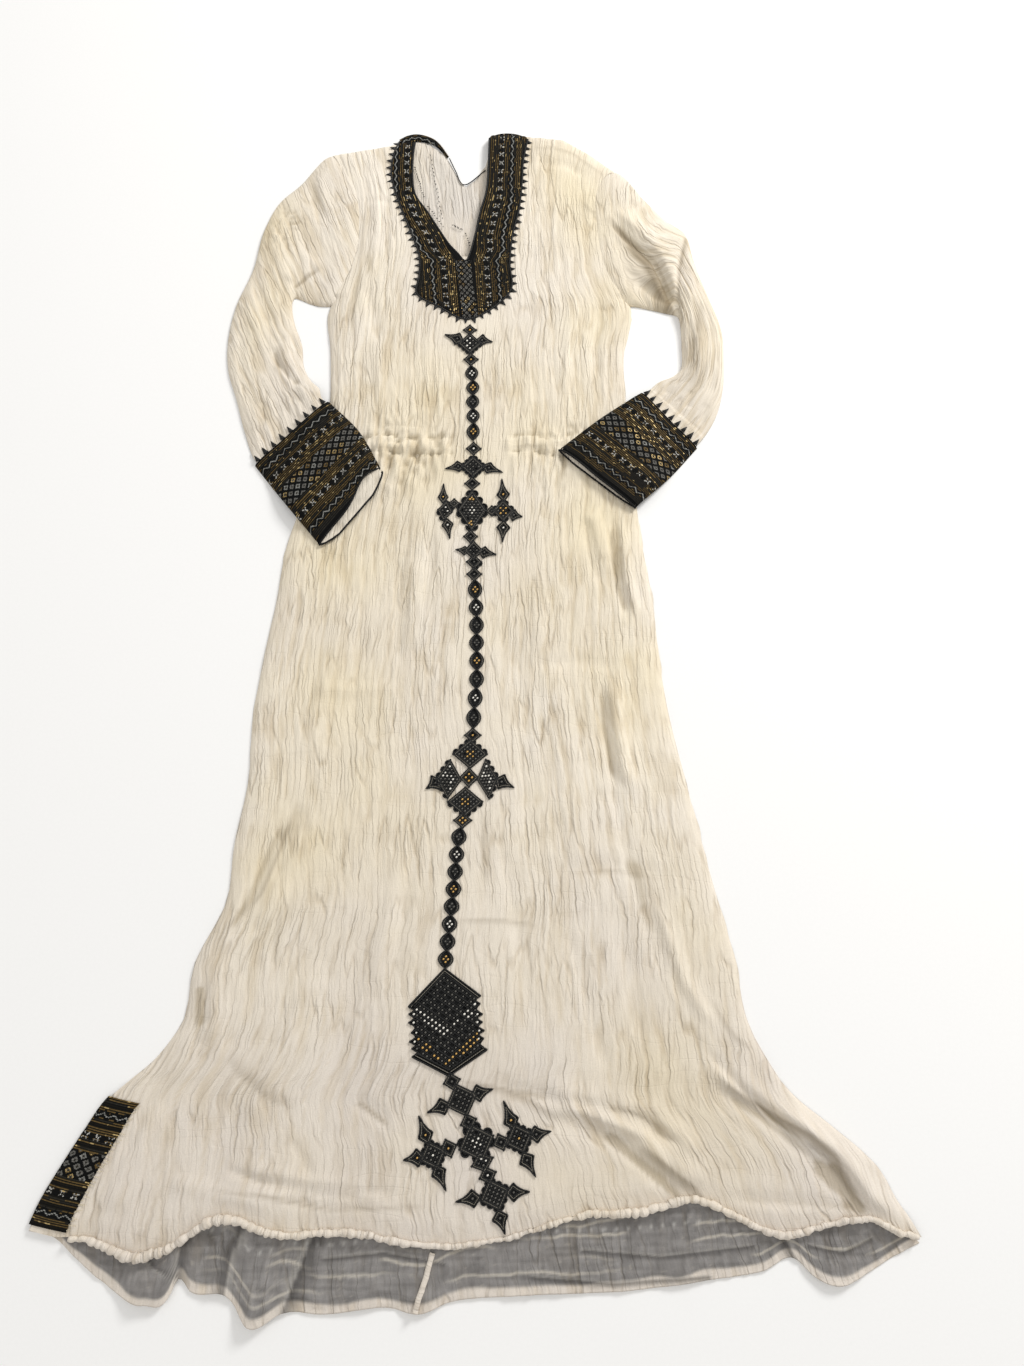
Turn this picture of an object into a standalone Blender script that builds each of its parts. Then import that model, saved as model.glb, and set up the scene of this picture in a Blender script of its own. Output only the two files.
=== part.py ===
# Habesha kemis, a long dress of crinkled cotton gauze, laid flat on its back.
# +X is the viewer's right, +Y points to the neck, +Z is up, and the origin is under the middle of the dress.
# Sizes are in millimetres, and turned to metres where a mesh is made.
import math

import bmesh
import bpy
from mathutils import Vector
from mathutils.bvhtree import BVHTree
from mathutils.geometry import tessellate_polygon

MM = 0.001
WALL = 1.6
SEAM_GAP = 0.4
BAND_THICK = 1.2
CORD_THICK = 1.1

# The two body panels.
FRONT_TOP = 7.0
EDGE_RISE = 42.0
SHOULDER_DROP = 30.0
PLEAT_HEIGHT = 0.75
CALM_FADE = 22.0
HALF_COLUMNS = 18
BACK_COLUMNS = 30
ARMPIT_Y = 440
NECK_Y = 510
SHOULDER_Y = 690
FRONT_HEM_START = -560
BACK_HEM_START = -480
HEM_DEPTH = 145
HEM_BAND_SHARES = (0.12, 0.36, 0.6, 0.76, 0.88)
BACK_FOLD_START = -656
BACK_FOLD_END = -695

# The sleeves and cuffs.
SLEEVE_HOLLOW = 3.4
CUFF_HEIGHT = 7.3
CUFF_CLEARANCE = 8.6
CUFF_COLUMNS = 18
CUFF_RINGS = (0.0, 0.07, 0.14, 0.4, 0.7, 1.0)
SLEEVE_RUN_IN = (-8.0, 1.0, 7.0, 15.0)
SLEEVE_END_HEIGHT = 3.0
SLEEVE_END_INSET = 3.8
SLEEVE_END_LIFT = 2.15
CUFF_RUN_IN = 62.0
CUFF_ONLY_BELOW = 345.0
SPIKE = 4.6


def table(columns, rows):
    """Rows of numbers as dictionaries with named columns."""
    names = columns.split()
    return [dict(zip(names, row)) for row in rows]


# One row for each level of the body: its two side edges, the two neck edges, which meet on the line of the
# embroidery below the V, and how far from them the cloth lies calm.
BODY = table("y left neck_left neck_right right calm", [
    (-625, -451, 14, 14, 451, 88),
    (-600, -441, 10, 10, 433, 88),
    (-560, -419, 5, 5, 408, 88),
    (-530, -401, 0, 0, 372, 86),
    (-500, -381, -5, -5, 334, 78),
    (-465, -338, -20, -20, 309, 58),
    (-430, -313, -28, -28, 291, 56),
    (-366, -303, -33, -33, 280, 44),
    (-300, -273, -27, -27, 264, 34),
    (-240, -269, -20, -20, 250, 34),
    (-170, -258, -11, -11, 235, 62),
    (-100, -257, -6, -6, 220, 34),
    (-30, -250, -6, -6, 210, 30),
    (40, -239, -6, -6, 205, 32),
    (120, -229, -8, -8, 194, 62),
    (190, -207, -10, -10, 187, 66),
    (245, -192, -10, -10, 182, 46),
    (300, -187, -11, -11, 180, 32),
    (370, -189, -13, -13, 179, 44),
    (440, -192, -14, -14, 189, 72),
    (475, -176, -17, -17, 167, 72),
    (510, -164, -22, -22, 156, 70),
    (560, -160, -60, -6, 150, 58),
    (610, -166, -87, 5, 150, 54),
    (650, -182, -91, 7, 160, 56),
    (690, -200, -89, 8, 176, 56),
])
BACK_LEVELS = (-480, -430, -300, -170, -30, 120, 245, 370, 440, 475, 510, 560, 610, 650, 690)

# The lower edge of each panel, the shoulder line, and the back's neckline, from left to right.
FRONT_HEM = table("x y", [
    (-451, -625), (-426, -631), (-392, -632), (-331, -648), (-283, -626), (-268, -617), (-191, -629),
    (-125, -626), (-62, -636), (0, -637), (67, -622), (113, -610), (170, -607), (229, -596), (253, -605),
    (304, -627), (367, -617), (402, -614), (432, -626), (451, -632),
])
BACK_HEM = table("x y", [
    (-451, -627), (-426, -632), (-400, -652), (-373, -672), (-327, -692), (-302, -684), (-297, -672),
    (-282, -682), (-245, -686), (-222, -711), (-187, -700), (-152, -702), (-86, -696), (-53, -701),
    (-22, -691), (31, -686), (167, -680), (230, -672), (292, -663), (324, -652), (342, -668), (366, -676),
    (396, -665), (424, -650), (451, -638),
])
SHOULDER = table("x y", [
    (-200, 668), (-120, 684), (-89, 690), (8, 700), (60, 698), (107, 693), (140, 671), (176, 641),
])
BACK_NECK = table("x y", [
    (-200, 668), (-120, 684), (-105, 690), (-74, 688), (-49, 668), (-32, 633), (-22, 618), (-10, 629),
    (4, 652), (14, 694), (60, 698), (107, 693), (140, 671), (176, 641),
])

# The largest folds of the front, each a line of three points with a half width and a height, which is below
# nought for a trough.
FRONT_FOLDS = table("x0 y0 x1 y1 x2 y2 width height", [
    (70, -505, 150, -532, 236, -592, 15, 5.5),
    (112, -498, 170, -512, 208, -548, 11, -2.6),
    (250, -474, 309, -518, 372, -566, 13, -3.0),
    (300, -500, 362, -545, 436, -620, 17, 8.0),
    (-92, 75, -94, 20, -96, -34, 9, -2.0),
    (-70, 122, -72, 60, -74, 0, 9, 1.8),
    (140, -58, 149, -115, 157, -178, 9, -2.4),
    (160, -60, 172, -130, 182, -200, 10, 2.2),
    (-197, -196, -222, -282, -274, -342, 10, -2.4),
    (-178, -200, -200, -290, -245, -365, 12, 2.4),
    (-294, -388, -292, -420, -290, -452, 10, -1.8),
    (-124, -503, -106, -516, -90, -528, 9, -2.0),
    (-330, -560, -240, -585, -110, -598, 12, 2.6),
    (-150, 70, -170, -40, -190, -150, 13, 1.8),
    (100, 40, 118, -120, 140, -320, 14, 1.6),
    (-170, -380, -200, -460, -240, -560, 15, 2.4),
    (190, -330, 220, -400, 245, -450, 13, 2.0),
])

# Folds that run down to the back hem, each from under the front to the edge.
BACK_FOLDS = table("x0 y0 x1 y1 width height", [
    (-296, -628, -336, -700, 21, 9.0),
    (-232, -628, -262, -692, 14, 5.0),
    (-170, -628, -224, -716, 17, 11.0),
    (-100, -640, -116, -705, 18, 3.0),
    (-40, -640, -54, -706, 14, 4.0),
    (60, -640, 70, -690, 34, 2.4),
    (196, -630, 214, -682, 26, 3.4),
    (322, -620, 366, -684, 24, 10.0),
])

# One row for each ring of a sleeve after the armhole: its outer end, its inner end, how far its middle bows
# to the body, how high it stands and how far it is lifted off its rest. Its end runs on into the cuff.
SLEEVES = {
    "left": table("out_x out_y in_x in_y bow height lift", [
        (-240, 623, -216, 443, 22, 7.0, 0),
        (-270, 589, -237, 452, 12, 7.5, 0),
        (-284, 552, -241, 448, 6, 8.0, 0),
        (-294, 496, -241, 434, 3, 8.0, 0),
        (-313, 440, -236, 412, 0, 8.0, 0),
        (-320, 388, -226, 384, 0, 7.5, 0),
        (-316, 346, -222, 354, 0, 8.0, 0),
        (-303, 306, -212, 334, 0, 8.0, 0),
        (-290, 262, -200, 320, 0, 7.5, 0.4),
    ]),
    "right": table("out_x out_y in_x in_y bow height lift", [
        (212, 601, 212, 436, 22, 8.5, 0),
        (241, 567, 236, 430, 14, 11.0, 0),
        (265, 545, 249, 426, 8, 12.0, 0),
        (273, 508, 252, 418, 4, 12.5, 0),
        (289, 455, 253, 404, 0, 12.0, 0),
        (303, 410, 253, 384, 0, 12.0, 0),
        (305, 364, 251, 352, 0, 11.5, 0),
        (301, 318, 240, 340, 0, 10.5, 0),
        (291, 284, 222, 332, 0, 8.5, 0.4),
    ]),
}

# Ridges and troughs along the top of each sleeve, at a share of its width from the outer edge.
SLEEVE_CREASES = {
    "left": table("share width height", [
        (0.2, 0.08, 1.2), (0.42, 0.09, -1.4), (0.6, 0.08, 1.0), (0.8, 0.08, -1.0),
    ]),
    "right": table("share width height", [
        (0.2, 0.09, 1.4), (0.45, 0.1, 2.0), (0.66, 0.09, -2.4), (0.84, 0.08, 1.2),
    ]),
}

# The corners of each cuff at its seam and at its open end, and how far its under layer shows past the upper.
CUFFS = {
    "left": dict(
        seam_out=(-275, 219), seam_in=(-187, 301), open_out=(-192, 112), open_in=(-119, 206), lip=12.0,
    ),
    "right": dict(
        seam_out=(266, 242), seam_in=(199, 314), open_out=(189, 158), open_in=(95, 234), lip=3.0,
    ),
}

# The neck band from the left shoulder round the V to the right one, with the points of its outer edge that
# lie between one row and the next.
NECK_BAND = table("in_x in_y out_x out_y points", [
    (-90, 686, -111, 690, 2),
    (-92, 660, -117, 667, 3),
    (-92, 632, -120, 640, 3),
    (-88, 604, -115, 612, 3),
    (-71, 576, -105, 581, 4),
    (-53, 545, -92, 546, 4),
    (-41, 526, -80, 508, 3),
    (-30, 513, -80, 478, 2),
    (-26, 507, -83, 457, 3),
    (-23, 504, -54, 436, 4),
    (-21, 503, -17, 418, 3),
    (-19, 504, 12, 432, 3),
    (-17, 508, 38, 462, 4),
    (-13, 522, 36, 498, 4),
    (-8, 545, 39, 537, 4),
    (-2, 578, 48, 581, 4),
    (6, 612, 52, 620, 4),
    (8, 652, 54, 656, 4),
    (9, 692, 60, 690, 0),
])
BACK_NECK_BAND = table("x y width", [
    (-110, 693, 5), (-98, 697, 7), (-86, 699, 8), (-74, 695, 8), (-62, 684, 7), (-51, 672, 5),
])

# The gathered channel at the waist, on each side of the embroidery.
CASINGS = table("name x0 x1 y depth gathers", [
    ("waist_casing_left", -104, -34, 244, 15, 6),
    ("waist_casing_right", 32, 90, 246, 15, 4),
])

# The strings of links down the front, and the crosses between them. A motif's own axes are turned from +X and
# +Y by the angles given.
CHAINS = table("name x0 y0 x1 y1 links half_width", [
    ("embroidery_chain_top", -13, 355, -9, 253.5, 5, 5.0),
    ("embroidery_chain_middle", -6, 66, -6, -105, 8, 5.2),
    ("embroidery_chain_low", -17, -223, -34, -373, 8, 5.0),
])
LINK_PROFILE = ((0.0, 0.3), (0.25, 0.85), (0.5, 1.0), (0.75, 0.85))
MOTIFS = table("name x y x_turn y_turn", [
    ("embroidery_cross_top", -14, 388, 0, 0),
    ("embroidery_cross_waist", -10, 165, -3, 0),
    ("embroidery_diamonds", -11, -163, -6, 3),
    ("embroidery_cross_hem", 3, -545, 9, 20),
])

# The arms of each motif: where the arm leaves the core, how far out its diamond block is, the block's half
# diagonal, and the lengths of the spear points on its two sides and at its end.
ARMS = {
    "embroidery_cross_top": table("angle core distance half side_a side_b tip", [
        (0, 13, 0, 0, 0, 0, 15),
        (90, 13, 0, 0, 0, 0, 12.5),
        (180, 13, 0, 0, 0, 0, 19),
        (270, 13, 0, 0, 0, 0, 18.5),
    ]),
    "embroidery_cross_waist": table("angle core distance half side_a side_b tip", [
        (0, 16, 38, 12, 28, 25, 12),
        (90, 23, 55, 13, 20, 20, 18),
        (180, 15, 30, 10, 22, 24, 0),
        (270, 23, 56, 12, 9, 15, 28),
    ]),
    "embroidery_diamonds": table("angle core distance half side_a side_b tip", [
        (0, 9, 24, 13, 0, 0, 14),
        (90, 9, 26, 14, 0, 0, 17),
        (180, 9, 23, 13, 0, 0, 10),
        (270, 9, 26, 14, 0, 0, 18),
    ]),
    "embroidery_cross_hem": table("angle core distance half side_a side_b tip", [
        (0, 17, 43, 14, 21, 22, 17),
        (90, 18, 46, 14, 18, 23, 5),
        (180, 17, 46, 13, 24, 21, 16),
        (270, 18, 51, 14, 23, 19, 14),
    ]),
}
LINK_HALF = 2.4
HEXAGON = table("x y teeth", [
    (-34, -376, 3), (-71, -409, 5), (-67, -459, 3), (-26, -477, 3), (12, -453, 5), (5, -400, 3),
])
TOOTH = 4.0

# The dark band that comes round the left side at the hem, and the puckered edge of the front hem.
SIDE_BAND = table("level width", [(-501, 33), (-530, 35), (-560, 36), (-590, 38), (-616, 38)])
SIDE_BAND_SLOPE = -0.2
HEM_ROLL = dict(start=-405, end=446, puckers=40, thick=3.7, thin=2.9, sides=6)
BACK_SEAM = table("x y", [(-42, -652), (-47, -668), (-54, -686), (-56, -697)])

CLOTH = dict(colour=(0.80, 0.74, 0.63), roughness=0.92)
DARK_BAND = dict(colour=(0.045, 0.040, 0.028), roughness=0.78)
CORD = dict(colour=(0.012, 0.012, 0.013), roughness=0.7)


def at(rows, key, value, column):
    """The column's value where the key has this value, straight between the rows."""
    if value <= rows[0][key]:
        return rows[0][column]
    for low, high in zip(rows, rows[1:]):
        if value <= high[key]:
            share = (value - low[key]) / (high[key] - low[key])
            return low[column] + share * (high[column] - low[column])
    return rows[-1][column]


def mix(a, b, share):
    return a + share * (b - a)


def smooth(start, end, value):
    """A soft step from 0 at start to 1 at end."""
    share = min(1.0, max(0.0, (value - start) / (end - start)))
    return share * share * (3 - 2 * share)


def off_line(x, y, points):
    """How far a place is from a line of points."""
    best = math.inf
    for (x0, y0), (x1, y1) in zip(points, points[1:]):
        along = ((x - x0) * (x1 - x0) + (y - y0) * (y1 - y0)) / ((x1 - x0) ** 2 + (y1 - y0) ** 2)
        along = min(1.0, max(0.0, along))
        best = min(best, math.hypot(x - mix(x0, x1, along), y - mix(y0, y1, along)))
    return best


def new_material(name, look):
    """A Principled material with the piece's colour and roughness."""
    material = bpy.data.materials.new(name)
    material.use_nodes = True
    shader = material.node_tree.nodes["Principled BSDF"]
    shader.inputs["Base Color"].default_value = (*look["colour"], 1.0)
    shader.inputs["Roughness"].default_value = look["roughness"]
    shader.inputs["Metallic"].default_value = 0.0
    return material


def add_piece(name, points, faces, look):
    """A mesh object in metres, with its faces turned outwards."""
    mesh = bpy.data.meshes.new(name)
    body = bmesh.new()
    verts = [body.verts.new(Vector(p) * MM) for p in points]
    for face in faces:
        body.faces.new([verts[i] for i in face])
    bmesh.ops.recalc_face_normals(body, faces=body.faces)
    body.to_mesh(mesh)
    body.free()
    mesh.materials.append(new_material(name, look))
    piece = bpy.data.objects.new(name, mesh)
    dress.objects.link(piece)
    return piece


def halves(quad):
    """A four-sided face as two triangles."""
    a, b, c, d = quad
    return [(a, b, c), (a, c, d)]


def closed_wall(name, upper, lower, triangles, look):
    """A wall between two surfaces that share their triangles, closed by a rim round every open edge."""
    keys = list(upper)
    number = {key: i for i, key in enumerate(keys)}
    count = len(keys)
    points = [upper[key] for key in keys] + [lower[key] for key in keys]
    tops = [tuple(number[key] for key in face) for face in triangles]
    faces = tops + [tuple(i + count for i in reversed(face)) for face in tops]
    edges = {(face[i], face[(i + 1) % 3]) for face in tops for i in range(3)}
    for a, b in sorted(edges):
        if (b, a) not in edges:
            faces.append((b, a, a + count, b + count))
    return add_piece(name, points, faces, look)


def grid_wall(name, upper_rows, lower_rows, look):
    """A wall between two grids of rows with equal counts."""
    upper = {(j, i): p for j, row in enumerate(upper_rows) for i, p in enumerate(row)}
    lower = {(j, i): p for j, row in enumerate(lower_rows) for i, p in enumerate(row)}
    triangles = []
    for j in range(len(upper_rows) - 1):
        for i in range(len(upper_rows[0]) - 1):
            triangles += halves(((j, i), (j, i + 1), (j + 1, i + 1), (j + 1, i)))
    return closed_wall(name, upper, lower, triangles, look)


def closed_rings(name, rings, look):
    """A solid through rings of equal counts, with a flat cap on its first and last ring."""
    count = len(rings[0])
    points = [p for ring in rings for p in ring]
    faces = [tuple(range(count)), tuple(reversed(range((len(rings) - 1) * count, len(rings) * count)))]
    for k in range(len(rings) - 1):
        for i in range(count):
            a, b = k * count + i, k * count + (i + 1) % count
            faces += halves((a, b, b + count, a + count))
    return add_piece(name, points, faces, look)


def open_tube(name, outer_rings, inner_rings, look):
    """A tube with a wall, open at both ends."""
    count, rings = len(outer_rings[0]), len(outer_rings)
    points = [p for ring in outer_rings + inner_rings for p in ring]
    shift = rings * count
    faces = []
    for k in range(rings - 1):
        for i in range(count):
            a, b = k * count + i, k * count + (i + 1) % count
            faces += halves((a, b, b + count, a + count))
            faces += halves((a + shift, a + count + shift, b + count + shift, b + shift))
    for first in (0, (rings - 1) * count):
        for i in range(count):
            a, b = first + i, first + (i + 1) % count
            faces += halves((a, b, b + shift, a + shift))
    return add_piece(name, points, faces, look)


def body_y(level, x, hem, hem_start, top):
    """Where a level of a panel lies, bent to follow the hem below and the shoulders above."""
    if level < hem_start:
        share = (level - hem_start) / (BODY[0]["y"] - hem_start)
        return mix(hem_start, at(hem, "x", x, "y"), share)
    if level > NECK_Y:
        share = (level - NECK_Y) / (SHOULDER_Y - NECK_Y)
        return level + share ** 2 * (at(top, "x", x, "y") - SHOULDER_Y)
    return level


def back_top_at(y):
    """The height of the back panel's upper side, which lies on the hem band near the hem."""
    on_band = BAND_THICK + SEAM_GAP
    return WALL + on_band * smooth(BACK_HEM_START + 12, BACK_HEM_START - 4, y)


def front_height(x, y, level, column):
    """The height of the front panel's lower side: calm by the embroidery, pleated and folded elsewhere."""
    left, right = at(BODY, "y", level, "left"), at(BODY, "y", level, "right")
    neck_left, neck_right = at(BODY, "y", level, "neck_left"), at(BODY, "y", level, "neck_right")
    from_side = min(x - left, right - x)
    from_shoulder = (at(SHOULDER, "x", x, "y") - y) * EDGE_RISE / SHOULDER_DROP
    edge = back_top_at(y) + SEAM_GAP + 0.05
    height = mix(edge, FRONT_TOP - WALL, smooth(0, EDGE_RISE, min(from_side, from_shoulder)))
    calm = at(BODY, "y", level, "calm")
    from_neck = max(neck_left - x, x - neck_right, 0)
    lively = smooth(calm, calm + CALM_FADE, from_neck) * smooth(4, 26, from_side)
    pleat = PLEAT_HEIGHT if column % 2 else -PLEAT_HEIGHT
    height += lively * pleat
    for fold in FRONT_FOLDS:
        line = [(fold["x0"], fold["y0"]), (fold["x1"], fold["y1"]), (fold["x2"], fold["y2"])]
        height += lively * fold["height"] * math.exp(-((off_line(x, y, line) / fold["width"]) ** 2))
    return max(height, edge)


def front_points():
    """The front's points by row and column, below nought on the left, and the triangles between them."""
    lower, triangles = {}, []
    neck_row = next(j for j, row in enumerate(BODY) if row["y"] == NECK_Y)

    def key(side, i, j):
        if i == 0:
            return (0, j) if j <= neck_row else (side * 0.5, j)
        return (side * i, j)

    for side, edge, neck in ((-1, "left", "neck_left"), (1, "right", "neck_right")):
        for j, row in enumerate(BODY):
            for i in range(HALF_COLUMNS + 1):
                x = mix(row[neck], row[edge], i / HALF_COLUMNS)
                y = body_y(row["y"], x, FRONT_HEM, FRONT_HEM_START, SHOULDER)
                lower[key(side, i, j)] = (x, y, front_height(x, y, row["y"], i))
        for j in range(len(BODY) - 1):
            for i in range(HALF_COLUMNS):
                quad = (key(side, i, j), key(side, i + 1, j), key(side, i + 1, j + 1), key(side, i, j + 1))
                triangles += halves(quad if side > 0 else quad[::-1])
    return lower, triangles


def raised(points, by):
    return {key: (x, y, z + by) for key, (x, y, z) in points.items()}


class Cloth:
    """The upper side of the front panel, to lay other pieces on."""

    def __init__(self, upper, triangles):
        keys = list(upper)
        number = {key: i for i, key in enumerate(keys)}
        faces = [tuple(number[key] for key in face) for face in triangles]
        self.tree = BVHTree.FromPolygons([Vector(upper[key]) for key in keys], faces)

    def height(self, x, y, reach=5.0):
        """The cloth's greatest height within a short reach of a place."""
        found = []
        for k in range(17):
            turn = k * math.pi / 4
            out = reach * (2 - k // 8) / 2
            start = Vector((x + out * math.cos(turn), y + out * math.sin(turn), 100.0))
            hit = self.tree.ray_cast(start, Vector((0, 0, -1)))[0]
            if hit is not None:
                found.append(hit.z)
        return max(found, default=WALL)


def make_front():
    lower, triangles = front_points()
    upper = raised(lower, WALL)
    closed_wall("front_panel", upper, lower, triangles, CLOTH)
    return Cloth(upper, triangles), lower


def back_wave(x, y):
    """How far the hem of the back lifts off the floor in its folds."""
    lift = 0.0
    for fold in BACK_FOLDS:
        line = [(fold["x0"], fold["y0"]), (fold["x1"], fold["y1"])]
        lift += fold["height"] * math.exp(-((off_line(x, y, line) / fold["width"]) ** 2))
    return lift * smooth(BACK_FOLD_START, BACK_FOLD_END, y)


def back_row(level):
    """The places of one level of the back panel, left to right."""
    left, right = at(BODY, "y", level, "left"), at(BODY, "y", level, "right")
    xs = [mix(left, right, i / BACK_COLUMNS) for i in range(BACK_COLUMNS + 1)]
    return [(x, body_y(level, x, BACK_HEM, BACK_HEM_START, BACK_NECK)) for x in xs]


def make_back():
    """The back panel, flat on the floor and on the hem band, and the band under it."""
    band_levels = [BACK_HEM_START - HEM_DEPTH * share for share in reversed(HEM_BAND_SHARES)]
    levels = [BACK_HEM_START - HEM_DEPTH] + band_levels + list(BACK_LEVELS)
    lower, upper = [], []
    for level in levels:
        over = BAND_THICK + SEAM_GAP if level in band_levels else 0.0
        row = [(x, y, over + back_wave(x, y)) for x, y in back_row(level)]
        lower.append(row)
        upper.append([(x, y, z + WALL) for x, y, z in row])
    grid_wall("back_panel", upper, lower, CLOTH)
    band_lower = [[(x, y, back_wave(x, y)) for x, y in back_row(level)] for level in band_levels]
    band_upper = [[(x, y, z + BAND_THICK) for x, y, z in row] for row in band_lower]
    grid_wall("hem_band", band_upper, band_lower, DARK_BAND)


def armhole(front, side):
    """The front's edge from the shoulder to the armpit, with each stretch's middle, and shares along it."""
    column = side * HALF_COLUMNS
    first = next(j for j, row in enumerate(BODY) if row["y"] == ARMPIT_Y)
    corners = [front[(column, j)][:2] for j in range(len(BODY) - 1, first - 1, -1)]
    places = [corners[0]]
    for a, b in zip(corners, corners[1:]):
        places += [(mix(a[0], b[0], 0.5), mix(a[1], b[1], 0.5)), b]
    steps = [math.dist(a, b) for a, b in zip(places, places[1:])]
    shares = [sum(steps[:k]) / sum(steps) for k in range(len(places))]
    return places, shares


def rest_height(x, y, side):
    """How high a sleeve or cuff rests: on the floor beside the body, and on the front where over it."""
    edge = at(BODY, "y", y, "left" if side < 0 else "right")
    inside = (x - edge) if side < 0 else (edge - x)
    over = smooth(-CUFF_RUN_IN, -6, inside)
    return CUFF_CLEARANCE * over * smooth(CUFF_ONLY_BELOW, CUFF_ONLY_BELOW - 35, y)


def flat_ring(places, shares, side, height, wall, lift, creases=(), inset=0.0):
    """A flattened ring over places from its outer to its inner end: the upper side, then the lower."""
    width = math.dist(places[0], places[-1])
    trim = inset / width
    half = height / 2
    upper, lower = [], []
    for (x, y), share in zip(places, shares):
        toward = mix(trim, -trim, share)
        x += toward * (places[-1][0] - places[0][0])
        y += toward * (places[-1][1] - places[0][1])
        round_off = math.sqrt(max(0.0, 1 - abs(2 * share - 1) ** 6))
        middle = rest_height(x, y, side) + lift + half
        crease = sum(c["height"] * math.exp(-(((share - c["share"]) / c["width"]) ** 2)) for c in creases)
        upper.append((x, y, middle + (half - wall + crease) * round_off))
        lower.append((x, y, middle - (half - wall) * round_off))
    return upper + lower[-2:0:-1]


def cuff_line(cuff, along, inset):
    """The two ends of a line across a cuff, so far along it from the seam, and inset at both edges."""
    ends = []
    for end in ("out", "in"):
        start, stop = cuff["seam_" + end], cuff["open_" + end]
        share = along / math.dist(start, stop)
        ends.append((mix(start[0], stop[0], share), mix(start[1], stop[1], share)))
    share = inset / math.dist(*ends)
    (x0, y0), (x1, y1) = ends
    return (mix(x0, x1, share), mix(y0, y1, share)), (mix(x1, x0, share), mix(y1, y0, share))


def make_sleeve(side, front):
    """A sleeve as a flattened tube from the armhole to just inside the cuff."""
    name = "left" if side < 0 else "right"
    rows = SLEEVES[name]
    places, shares = armhole(front, side)
    stations = [([(x + side * SEAM_GAP * 1.6, y) for x, y in places], rows[0]["height"] - 1.4, 0.0, ())]
    for k, row in enumerate(rows):
        out, inner = (row["out_x"], row["out_y"]), (row["in_x"], row["in_y"])
        long = math.dist(out, inner)
        toward = ((inner[1] - out[1]) / long * side, (out[0] - inner[0]) / long * side)
        line = []
        for share in shares:
            bow = row["bow"] * 4 * share * (1 - share)
            line.append((mix(out[0], inner[0], share) + toward[0] * bow,
                         mix(out[1], inner[1], share) + toward[1] * bow))
        creases = SLEEVE_CREASES[name] if 1 < k < len(rows) - 1 else ()
        stations.append((line, row["height"], row["lift"], creases))
    for along in SLEEVE_RUN_IN:
        out, inner = cuff_line(CUFFS[name], along, SLEEVE_END_INSET)
        line = [(mix(out[0], inner[0], share), mix(out[1], inner[1], share)) for share in shares]
        stations.append((line, SLEEVE_END_HEIGHT, SLEEVE_END_LIFT, ()))
    outer, inner = [], []
    for line, height, lift, creases in stations:
        wall = min(WALL, max(1.2, height / 2 - 0.3))
        wall = max(wall, (height - SLEEVE_HOLLOW) / 2)
        outer.append(flat_ring(line, shares, side, height, 0.0, lift, creases))
        inner.append(flat_ring(line, shares, side, height, wall, lift, creases, inset=wall))
    open_tube("sleeve_" + name, outer, inner, CLOTH)


def make_cuff(side):
    """A cuff as a flattened tube round the sleeve's end, with a pointed edge at its seam."""
    name = "left" if side < 0 else "right"
    cuff = CUFFS[name]
    shares = [i / CUFF_COLUMNS for i in range(CUFF_COLUMNS + 1)]
    loop_shares = shares + shares[-2:0:-1]
    on_top = [True] * len(shares) + [False] * (len(shares) - 2)
    outer, inner = [], []
    for along in CUFF_RINGS:
        ends = []
        for end in ("out", "in"):
            (x0, y0), (x1, y1) = cuff["seam_" + end], cuff["open_" + end]
            ends.append((mix(x0, x1, along), mix(y0, y1, along)))
        (x0, y0), (x1, y1) = ends
        line = [(mix(x0, x1, share), mix(y0, y1, share)) for share in shares]
        axis_x = (cuff["open_out"][0] + cuff["open_in"][0] - cuff["seam_out"][0] - cuff["seam_in"][0]) / 2
        axis_y = (cuff["open_out"][1] + cuff["open_in"][1] - cuff["seam_out"][1] - cuff["seam_in"][1]) / 2
        long = math.hypot(axis_x, axis_y)
        for rings, wall in ((outer, 0.0), (inner, WALL)):
            ring = flat_ring(line, shares, side, CUFF_HEIGHT, wall, 0.0, inset=wall)
            moved = []
            for i, (x, y, z) in enumerate(ring):
                shift = 0.0
                if along == 0.0:
                    shift = -SPIKE if i % 2 else 0.0
                elif along == 1.0 and not on_top[i]:
                    shift = cuff["lip"] * min(1.0, 6 * loop_shares[i] * (1 - loop_shares[i]))
                new_x, new_y = x + shift * axis_x / long, y + shift * axis_y / long
                z += rest_height(new_x, new_y, side) - rest_height(x, y, side)
                moved.append((new_x, new_y, z))
            rings.append(moved)
    open_tube("cuff_" + name, outer, inner, DARK_BAND)


def make_neck_band(cloth):
    """The band round the V neck, flat on the front, with a row of points along its outer edge."""
    rows = []
    for a, b in zip(NECK_BAND, NECK_BAND[1:]):
        steps = 2 * a["points"]
        for k in range(steps):
            share = k / steps
            near = (mix(a["in_x"], b["in_x"], share), mix(a["in_y"], b["in_y"], share))
            far = (mix(a["out_x"], b["out_x"], share), mix(a["out_y"], b["out_y"], share))
            cut = 1 - (SPIKE / math.dist(near, far) if k % 2 == 0 else 0.0)
            rows.append((near, (mix(near[0], far[0], cut), mix(near[1], far[1], cut))))
    last = NECK_BAND[-1]
    rows.append(((last["in_x"], last["in_y"]), (last["out_x"], last["out_y"])))
    lower = [[(x, y, cloth.height(x, y) + SEAM_GAP) for x, y in row] for row in rows]
    upper = [[(x, y, z + BAND_THICK) for x, y, z in row] for row in lower]
    grid_wall("neck_band", upper, lower, DARK_BAND)


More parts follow.
